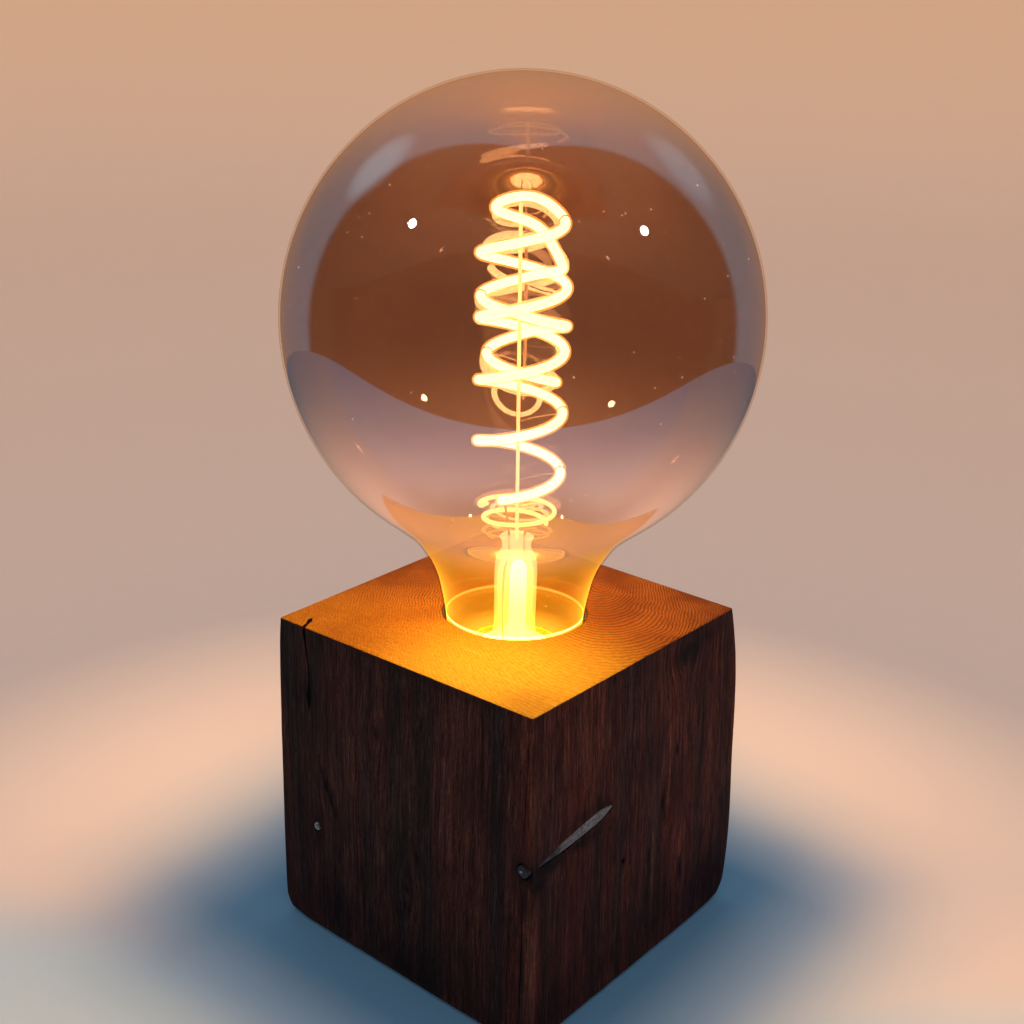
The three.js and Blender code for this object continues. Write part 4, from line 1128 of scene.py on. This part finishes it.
def glass_globe():
    """The globe and its neck: coated inside, dusty outside."""
    outer = globe_outline()
    outer[-1, 0] = 0
    inner = inside_of(outer, GLOBE_WALL)[1:]
    throat, low = NECK_RADIUS - GLOBE_WALL, NECK_BOTTOM
    foot = [(throat, NECK_TOP - 0.4), (throat, low + 0.15), (throat + 0.2, low),
            (NECK_RADIUS - 0.2, low), (NECK_RADIUS, low + 0.2)]
    profile = np.vstack([inner[::-1], foot, outer])
    sides = 144
    globe = lathe("globe", profile, sides, coated_glass_painted_glow(), smooth=60)
    globe.data.materials.append(dusty_glass())
    rows = np.arange(len(globe.data.polygons)) // sides
    globe.data.polygons.foreach_set("material_index", (rows > len(inner)).astype(np.int32))
    settle(globe, "bulb", "smoked_glass", "glass_globe")
    return globe


def stem(glass):
    """The flared stem: an outside, and an inside that is open at the foot."""
    inner = STEM_RADIUS - STEM_WALL
    outside = smooth_curve([
        (10.0, 79.6), (10.15, 81.0), (10.1, 83.6), (9.4, 84.4), (7.6, 85.0), (6.4, 86.4),
        (STEM_RADIUS, 89.0), (STEM_RADIUS, 96.0), (STEM_RADIUS, BLOCK_TOP + 13.6),
        (STEM_RADIUS - 0.35, BLOCK_TOP + 15.8), (4.75, BLOCK_TOP + 17.4),
        (PINCH_RADIUS - 0.3, BLOCK_TOP + 18.6), (PINCH_RADIUS - 0.35, BLOCK_TOP + 20.4),
        (PINCH_RADIUS, PINCH_TOP - 0.9), (PINCH_RADIUS + 0.35, PINCH_TOP - 0.35),
        (PINCH_RADIUS - 0.1, PINCH_TOP), (PINCH_RADIUS - 1.6, PINCH_TOP + 0.02), (0, PINCH_TOP),
    ], 5)
    inside = smooth_curve([
        (0, 110.2), (1.8, 109.9), (inner - 1.2, 109.0), (inner, 106.6), (inner, 96.0), (inner, 85.6),
        (inner + 0.4, 85.0), (inner + 1.8, 84.0), (8.6, 83.2), (9.2, 81.6), (9.3, 79.6),
    ], 5)
    piece = lathe("stem", np.vstack([inside, outside]), 72, glass, smooth=50)
    piece.visible_glossy = False
    settle(piece, "bulb", "clear_glass", "stem_glass")
    return piece


def exhaust_tube(glass):
    """The narrow tube inside the stem, which has a painted glow."""
    profile = [
        (1.9, 80.0), (2.3, 80.4), (2.35, 86.0), (2.35, 104.0), (2.2, 107.0), (1.5, 108.6), (0, 109.2)]
    points = np.vstack([[(0, 80.0)], smooth_curve(profile, 4)])
    place = turned([(0.7, -0.9, 0)])[0]
    piece = lathe("exhaust_tube", points, 32, glass, place=place, smooth=50)
    piece.visible_glossy = False
    settle(piece, "bulb", "clear_glass")
    return piece


# Filament


def glowing(name, colour, strength, speckle=0.0):
    """A glow that is a little uneven: lit phosphor on the filament, as chips under their coat, and
    painted glow on the rod and the exhaust tube.
    """
    g = new_material(name, 0.45, glows=True)
    darker = tuple(c * (1 - speckle) for c in colour)
    shade = g.ramp(g.noise(g.place(), 1500, 2), [(0.3, darker), (0.7, colour)])
    g.set("Base Color", shade)
    g.set("Emission Color", shade)
    g.set("Emission Strength", strength)
    return g.material


def painted_glow_halo():
    """A thin see-through shell round the filament with a painted glow, for the glare round it."""
    g = new_material("filament_glow_halo", 0.6, glows=True)
    g.set("Base Color", (0.4, 0.12, 0.02, 1))
    g.set("Alpha", 0.22)
    g.set("Emission Color", (1.0, 0.52, 0.13, 1))
    g.set("Emission Strength", 5.0)
    return g.material


def turned(points):
    """Points of the inner parts, turned to face the lamp's front corner."""
    points = np.asarray(points, float)
    cos, sin = math.cos(INNER_TURN), math.sin(INNER_TURN)
    return np.stack([
        points[:, 0] * cos - points[:, 1] * sin,
        points[:, 0] * sin + points[:, 1] * cos,
        points[:, 2],
    ], axis=-1)


def winding(controls, steps):
    """A path from controls of turns, radius and height above the block."""
    turns, radius, height = smooth_curve(controls, steps).T
    angle = turns * 2 * math.pi
    return turned(np.stack([
        radius * np.cos(angle), radius * np.sin(angle), BLOCK_TOP + height], axis=-1))


def filament_controls():
    """It climbs round the rod, turns over at the top and comes down the same way round."""
    controls = [[-0.32, 10.4, 35.2], [-0.15, 11.1, 38.2]]
    controls += [[quarter / 4, 11.3, 40.7 + 16.5 * quarter / 4] for quarter in range(17)]
    controls[-1][1] = 10.2
    controls += [[4.25, 8.2, 112.2], [4.5, 7.6, 109.8], [4.75, 7.8, 107.4]]
    side_radii = (9.9, 11.1, 11.6, 9.2, 9.3)
    for quarter in range(9):
        radius = 8.1 if quarter % 2 else side_radii[quarter // 2]
        controls.append([5 + quarter / 4, radius, 95 - 14.9 * quarter / 4])
    return controls


def tail_controls():
    """The dim lower turns wind inwards to the pinch."""
    controls = [[-0.4, 10.3, 33.2]]
    for quarter in range(7):
        turns = quarter / 4
        controls.append([-0.5 - turns, 10.4 - 1.1 * turns ** 2, 31.2 - 3.6 * turns])
    return controls


def rod_x(height):
    """How far the leaning rod is to the side of the axis at a height."""
    foot = PINCH_TOP + 0.3
    return ROD_LEAN * (height - foot) / (ROD_TOP - foot)


def support_wires(metal):
    """Wires that leave the rod and end in a hook round the filament."""
    reach = FILAMENT_RADIUS + WIRE_RADIUS + 0.12
    for index, (foot, tip, middle) in enumerate(SUPPORTS):
        height = BLOCK_TOP + foot
        side = math.copysign(1, tip[0])
        start = (rod_x(height) + side * (ROD_RADIUS + 0.05), 0, height)
        loop = []
        for angle in np.linspace(200, -120, 26):
            turn = math.radians(angle)
            loop.append((middle[0] + side * reach * math.cos(turn), 0.5 * (angle - 200) / 320,
                         BLOCK_TOP + middle[1] + reach * math.sin(turn)))
        bend = ((start[0] * 0.4 + tip[0] * 0.6), 0, height + (tip[1] - foot) * 0.55 + 0.25)
        path = np.vstack([smooth_curve([start, bend, loop[0]], 10)[:-1], loop])
        wire = tube(f"support_hook_{index + 1}", turned(path), WIRE_RADIUS * 0.8, 8, metal)
        settle(wire, "bulb", "nickel", f"support_wire_{index + 1}")


def lead_wires(metal):
    """Wires from the cap through the pinch to the filament's two ends."""
    uppers = ([(-2.6, -2.5, 27), (-3.6, -7.3, 34.2)], [(2.9, 0, 24.0), (5.2, 0.2, 24.4)])
    middles = ((-3.2, 0.4), (2.4, 2.4))
    for index, upper in enumerate(uppers):
        x = (-2.2, 2.2)[index]
        controls = [(x, 0, 78.8), (*middles[index], 86), (*middles[index], 105)]
        controls += [(x, 0, 110.5), (x, 0, PINCH_TOP + 0.8)]
        controls += [(a, b, BLOCK_TOP + c) for a, b, c in upper]
        wire = tube(f"lead_{index + 1}", turned(smooth_curve(controls, 10)), 0.3, 10, metal)
        settle(wire, "bulb", "nickel", f"lead_wire_{index + 1}")


def inner_bulb():
    """The filament, its tail and rod, the wires and the stem. Returns those that cast no shadow."""
    nickel = plain("lead_nickel", (0.35, 0.30, 0.26), 0.35, 1.0, 900, 0.3)
    spiral = winding(filament_controls(), 14)
    core = glowing("filament_core", (1.0, 0.80, 0.45), 9.0, 0.1)
    body = tube("filament_lit", spiral, FILAMENT_RADIUS, 14, core)
    settle(body, "bulb", "lit_filament", "filament")
    # A painted glow halo round the filament
    glow_halo = tube("filament_glow_halo", spiral, GLOW_HALO_RADIUS, 14, painted_glow_halo())
    settle(glow_halo, "bulb", "lit_filament")
    glow_halo.visible_glossy = False
    dim = glowing("filament_dim", (1.0, 0.72, 0.30), 3.5, 0.3)
    tail = tube("filament_dim_turns", winding(tail_controls(), 16), TAIL_RADIUS, 12, dim)
    settle(tail, "bulb", "dim_filament", "filament_tail")
    rod_path = turned([(0, 0, PINCH_TOP + 0.1), (rod_x(150), 0, 150), (ROD_LEAN, 0, ROD_TOP)])
    # The glass rod has a painted glow
    rod = tube("rod", rod_path, ROD_SEEN_RADIUS, 16, glowing("rod_painted_glow", (1.0, 0.74, 0.42), 2.2, 0.2))
    settle(rod, "bulb", "rod_glass", "centre_rod")
    support_wires(nickel)
    lead_wires(nickel)
    # The stem's glass has a painted glow, strongest at its foot
    stem_painted_glow_glass, _ = clear_glass("stem_glass_painted_glow", (0.97, 0.94, 0.80), ((1.0, 0.88, 0.60), 4.2, 0.85))
    flare = stem(stem_painted_glow_glass.material)
    # The exhaust tube's glass has a painted glow
    exhaust = exhaust_tube(glowing("exhaust_painted_glow", (1.0, 0.90, 0.66), 7.0, 0.05))
    return [body, glow_halo, tail, rod, flare, exhaust]


# Small parts, most of which keep their CAD shape


def plain(name, colour, roughness, metallic=0.0, scale=700, variation=0.25, relief=0.05):
    """A worked surface: its colour and roughness vary a little, and it has a fine relief."""
    g = new_material(name, roughness, metallic)
    fine = g.noise(g.place(), scale, 3, 0.6)
    wear = g.noise(g.place(), scale * 0.13, 3)
    low = tuple(c * (1 - variation) for c in colour)
    high = tuple(min(1.0, c * (1 + variation)) for c in colour)
    g.set("Base Color", g.ramp(fine * 0.5 + wear * 0.5, [(0.32, low), (0.68, high)]))
    g.set("Roughness", g.span(fine, 0.25, 0.75, roughness * 0.8, min(1, roughness * 1.2)))
    g.bump(fine, relief, 0.5)
    return g.material


def finish_cad_nodes():
    """Gives the small parts that keep their CAD mesh their materials."""
    brass, nickel, zinc = (0.70, 0.48, 0.17), (0.62, 0.59, 0.54), (0.55, 0.56, 0.56)
    finishes = (
        (plain("zinc_plate", zinc, 0.35, 1.0, 1200, 0.15), (
            "base_screw_1", "base_screw_2", "base_screw_3", "base_screw_4", "nipple", "nipple_washer",
            "nipple_nut", "holder_locknut", "live_terminal_screw", "neutral_terminal_screw")),
        (plain("black_plate", (0.030, 0.030, 0.033), 0.5, 0.0, 1500, 0.3, 0.03), (
            "base_plate", "driver_choke")),
        (plain("pressed_felt", (0.045, 0.045, 0.050), 0.95, 0.0, 3200, 0.5, 0.25), (
            "felt_pad_1", "felt_pad_2", "felt_pad_3", "felt_pad_4")),
        (plain("rubber_bush", (0.020, 0.020, 0.021), 0.75, 0.0, 1400, 0.3), ("cord_grommet",)),
        (plain("moulded_bakelite", (0.022, 0.015, 0.012), 0.35, 0.0, 900, 0.35, 0.02), (
            "holder_cup", "holder_skirt", "driver_capacitor", "driver_bridge")),
        (plain("glazed_porcelain", (0.78, 0.75, 0.68), 0.25, 0.0, 500, 0.05, 0.03), (
            "holder_insert",)),
        (plain("drawn_brass", brass, 0.3, 1.0, 1500, 0.15), (
            "live_terminal", "neutral_terminal", "shell_rivet", "screw_shell", "contact_plunger")),
        (plain("cap_nickel", nickel, 0.3, 1.0, 1500, 0.12), (
            "cap_contact", "driver_wire_live", "driver_wire_shell")),
        (plain("black_insulator", (0.012, 0.012, 0.016), 0.12, 0.0, 400, 0.2, 0.01), (
            "cap_insulator",)),
        (plain("basing_cement", (0.74, 0.66, 0.50), 0.9, 0.0, 1600, 0.2, 0.2), ("cap_cement",)),
        (plain("white_board", (0.80, 0.78, 0.70), 0.45, 0.0, 900, 0.06, 0.02), ("driver_board",)),
    )
    for material, names in finishes:
        for name in names:
            mesh = nodes[name].data
            mesh.materials.clear()
            mesh.materials.append(material)


def contact_spring():
    """The spring under the holder's middle contact."""
    bottom, top, travel = SPRING_BOTTOM, SPRING_TOP, PRESS_TRAVEL
    angles = np.linspace(0, 2 * math.pi * SPRING_TURNS, SPRING_TURNS * 28)
    rise = np.linspace(bottom + SPRING_WIRE, top - SPRING_WIRE, len(angles))
    path = np.column_stack([SPRING_RADIUS * np.cos(angles), SPRING_RADIUS * np.sin(angles), rise])
    metal = plain("spring_wire", (0.55, 0.56, 0.56), 0.35, 1.0, 1200, 0.15)
    spring = tube("contact_coil", path, SPRING_WIRE, 10, metal)
    settle(spring, "base", "zinc_steel", "contact_spring")
    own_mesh(spring)


def cap_shell():
    """The screw cap with a round rolled thread, smooth where the CAD one is faceted."""
    sides = 96
    angles = np.linspace(0, 2 * math.pi, sides, endpoint=False)
    start, end = THREAD_START, THREAD_END
    lip = [(11.2, 65.0), (11.7, 65.05), (12.0, 65.2), (12.35, 65.6)]
    rest = [(12.95, end + 0.6), (13.1, end + 1.2), (13.2, 84.9), (13.2, 85.2), (12.8, 85.2),
            (12.5, end + 0.9), (11.6, end + 0.2), (11.6, 66.2), (11.2, 65.8)]
    outline = [(np.full(sides, radius), height) for radius, height in lip]
    for height in np.linspace(start, end, 70):
        fade = np.clip(min(height - start, end - height) / 1.2, 0, 1)
        wave = THREAD_DEPTH * fade * np.cos(2 * math.pi * height / THREAD_PITCH - angles)
        outline.append((THREAD_RADIUS + wave, height))
    outline += [(np.full(sides, radius), height) for radius, height in rest]
    points = [
        np.column_stack([size * np.cos(angles), size * np.sin(angles), np.full(sides, height)])
        for size, height in outline
    ]
    faces = ring_faces(len(outline), sides, closed=True)
    metal = plain("rolled_nickel", (0.62, 0.59, 0.54), 0.28, 1.0, 1500, 0.12)
    shell = mesh_object("cap_thread", np.vstack(points), faces, [metal], smooth=50)
    settle(shell, "bulb", "nickel", "cap_shell")


# Surroundings


def stage_material(name, one_sided=False):
    """Pale paint, with a painted cool shade near the lamp and towards the front, a little warmer away
    from the lamp, a painted warm glow up the wall, and cooler in a mirror.
    """
    g = new_material(name, 0.9)
    place = g.place()
    reach = g.length(place * (1, 1, 0))
    away = g.dot(place, BACK - BESIDE * 0.12)
    # Painted cool shade on the floor near the lamp and towards the front
    warmer = g.math("MINIMUM", g.over(reach, 60, 150), g.over(away, -55, -10))
    paint = g.mix(warmer, FLOOR_PAINTED_SHADE, WALL_COLOUR)
    # Painted warm glow up the wall
    paint = g.mix(g.over(place[2], 140, 310), paint, WALL_PAINTED_GLOW)
    mirrored = g.value("LightPath", output="Is Glossy Ray")
    cooler = g.mix(g.over(reach, 150, 400), (0.62, 0.96, 1.46), (0.71, 1.38, 1.62))
    g.set("Base Color", g.mix(mirrored, paint, g.tinted(paint, cooler)))
    g.set("Specular IOR Level", 0.0)
    if one_sided:
        back = g.value("NewGeometry", output="Backfacing")
        surface = Value(g, g.tree.nodes["Principled BSDF"].outputs[0])
        g.show(g.value("MixShader", {0: back, 1: surface, 2: g.value("BsdfTransparent")}))
    return g.material


def surroundings():
    """A pale table, and a pale wall all round that shows only from its inside."""
    floor = stage_material("pale_floor")
    wall = stage_material("pale_wall", one_sided=True)
    size = FAR_FLOOR_HALF
    corners = [(-size, -size, -0.6), (size, -size, -0.6), (size, size, -0.6), (-size, size, -0.6)]
    far = mesh_object("far_floor", corners, [(0, 1, 2, 3)], [floor])
    far.visible_glossy = False
    centre = BACK * TABLE_BACK
    edge = [
        centre + BACK * (TABLE_DEEP * math.cos(angle)) + BESIDE * (TABLE_WIDE * math.sin(angle))
        for angle in np.linspace(0, 2 * math.pi, 96, endpoint=False)
    ]
    table = mesh_object("table", [(p.x, p.y, 0) for p in edge], [tuple(range(96))], [floor])
    arc = np.linspace(0, math.pi / 2, 24)
    profile = [(WALL_RADIUS - WALL_COVE + WALL_COVE * math.sin(a),
                0.05 + WALL_COVE * (1 - math.cos(a))) for a in arc]
    profile.append((WALL_RADIUS, WALL_HEIGHT))
    sheet = lathe("wall", profile, 180, wall, smooth=80)
    sheet.data.flip_normals()
    sheet.visible_glossy = False
    sheet.visible_diffuse = False
    sheet.visible_shadow = False
    return [far, table, sheet]


def spark(name, direction, distance, radius, strength):
    """A small far light that shows only in gloss: the globe mirrors it as a point."""
    g = new_material(name, glows=True)
    g.set("Base Color", (0, 0, 0, 1))
    g.set("Emission Color", (0.85, 0.93, 1.0, 1))
    g.set("Emission Strength", strength)
    place = Vector((0, 0, GLOBE_CENTRE)) + Vector(direction).normalized() * distance
    arc = [(radius * math.cos(a), radius * math.sin(a)) for a in np.linspace(-1.5708, 1.5708, 17)]
    ball = lathe(name, arc, 24, g.material, place=place, smooth=80)
    ball.visible_camera = ball.visible_diffuse = ball.visible_shadow = False
    ball.visible_transmission = False


def studio_world():
    """A pale surround for the camera. Gloss sees a dim room with the lit wall behind the lamp."""
    world = bpy.data.worlds.new("surround")
    scene.world = world
    world.use_nodes = True
    g = Shader(world.node_tree)
    direction = g.value("TexCoord", output="Generated")
    toward = g.dot(g.vector("NORMALIZE", direction * (1, 1, 0)), BACK)
    straight = g.dot(direction, BACK)
    fall = g.math("MAXIMUM", toward, 0.0) ** 5.0 * g.span(straight, 0.05, 0.7, 0.55, 1.0)
    lit_wall = g.mix(fall, (0.15, 0.30, 0.40), (0.85, 0.45, 0.25))
    room = g.mix(g.span(toward, 0.36, 0.47), (0.030, 0.022, 0.018), lit_wall)
    for aim, level in GLEAMS:
        patch = g.span(g.dot(direction, aim), 0.972, 0.999, 0.0, level)
        room = g.mix(patch, room, g.mix(1.0, room, (0.24, 0.42, 0.52), "ADD"))
    glossy, through, camera = (
        g.value("LightPath", output=f"Is {ray} Ray") for ray in ("Glossy", "Transmission", "Camera"))
    soft = g.mix(g.math("MAXIMUM", glossy, through), (0.19, 0.32, 0.44), room)
    shown = g.mix(camera, soft, (0.55, 0.47, 0.41))
    g.feed(world.node_tree.nodes["Background"].inputs["Color"], shown)


def area_light(name, place, power, colour):
    """A wide soft light that looks at the lamp."""
    data = bpy.data.lights.new(name, "AREA")
    data.shape, data.size, data.energy, data.color = "DISK", 600 * MM, power, colour
    lamp = bpy.data.objects.new(name, data)
    lamp.location = Vector(place) * MM
    lamp.rotation_euler = (Vector((0, 0, 60)) - Vector(place)).to_track_quat("-Z", "Y").to_euler()
    scene.collection.objects.link(lamp)
    return lamp


def point_light(name, height, power, colour, radius):
    """A round light inside the bulb, which goes where the bulb goes."""
    data = bpy.data.lights.new(name, "POINT")
    data.energy, data.color, data.shadow_soft_size = power, colour, radius * MM
    lamp = bpy.data.objects.new(name, data)
    lamp.location = (0, 0, height * MM)
    scene.collection.objects.link(lamp)
    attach(lamp, "bulb")
    return lamp


def light_only(lamps, pieces, state):
    """Makes the lamps light only the pieces, or everything except them."""
    group = bpy.data.collections.new("linked_to_" + lamps[0].name)
    for piece in pieces:
        group.objects.link(piece)
    for lamp in lamps:
        lamp.light_linking.receiver_collection = group
    for member in group.collection_objects:
        member.light_linking.link_state = state


def lights(glass, stage):
    """Plain soft light from round about, and the bulb's own warm light."""
    lamps = [
        area_light("key", (-260, -900, 900), 6.0, (1.0, 0.93, 0.86)),
        area_light("fill", (950, -250, 700), 6.4, (1.0, 0.91, 0.82)),
        area_light("rear", (-600, 900, 900), 2.6, (1.0, 0.95, 0.90)),
    ]
    glow = [point_light(f"glow_{z}", z, GLOW_POWER, GLOW_COLOUR, 11) for z in GLOW_HEIGHTS]
    on_stage = point_light("glow_on_stage", ROOM_GLOW_HEIGHT, ROOM_GLOW_POWER, ROOM_GLOW_COLOUR, 40)
    light_only(lamps, glass + stage, "EXCLUDE")
    light_only(glow, glass, "EXCLUDE")
    light_only([on_stage], stage, "INCLUDE")
    for lamp in [*lamps, *glow, on_stage]:
        lamp.visible_camera = False
        lamp.visible_glossy = False


def place_camera():
    data = bpy.data.cameras.new("camera")
    data.lens, data.sensor_width, data.clip_start = CAMERA_LENS, 36, 0.01
    camera = bpy.data.objects.new("camera", data)
    rows = Matrix((CAMERA_RIGHT, CAMERA_UP, -CAMERA_FORWARD)).transposed()
    camera.matrix_world = Matrix.Translation(CAMERA_PLACE) @ rows.to_4x4()
    scene.collection.objects.link(camera)
    scene.camera = camera


# The lamp

place_camera()
iron = planed_iron()
timber_block()
corner_nail(iron)
side_nail()
globe = glass_globe()
lit_parts = inner_bulb()
cap_shell()
contact_spring()
finish_cad_nodes()
for piece in [globe, *lit_parts]:
    piece.visible_shadow = False

# The room and its light

stage_pieces = surroundings()
for name, direction in SPARKS.items():
    spark(name, direction, SPARK_FAR, SPARK_RADIUS, SPARK_POWER)
studio_world()
lights([globe, *lit_parts], stage_pieces)
scene.view_settings.view_transform = "Standard"
scene.cycles.transparent_max_bounces = 32
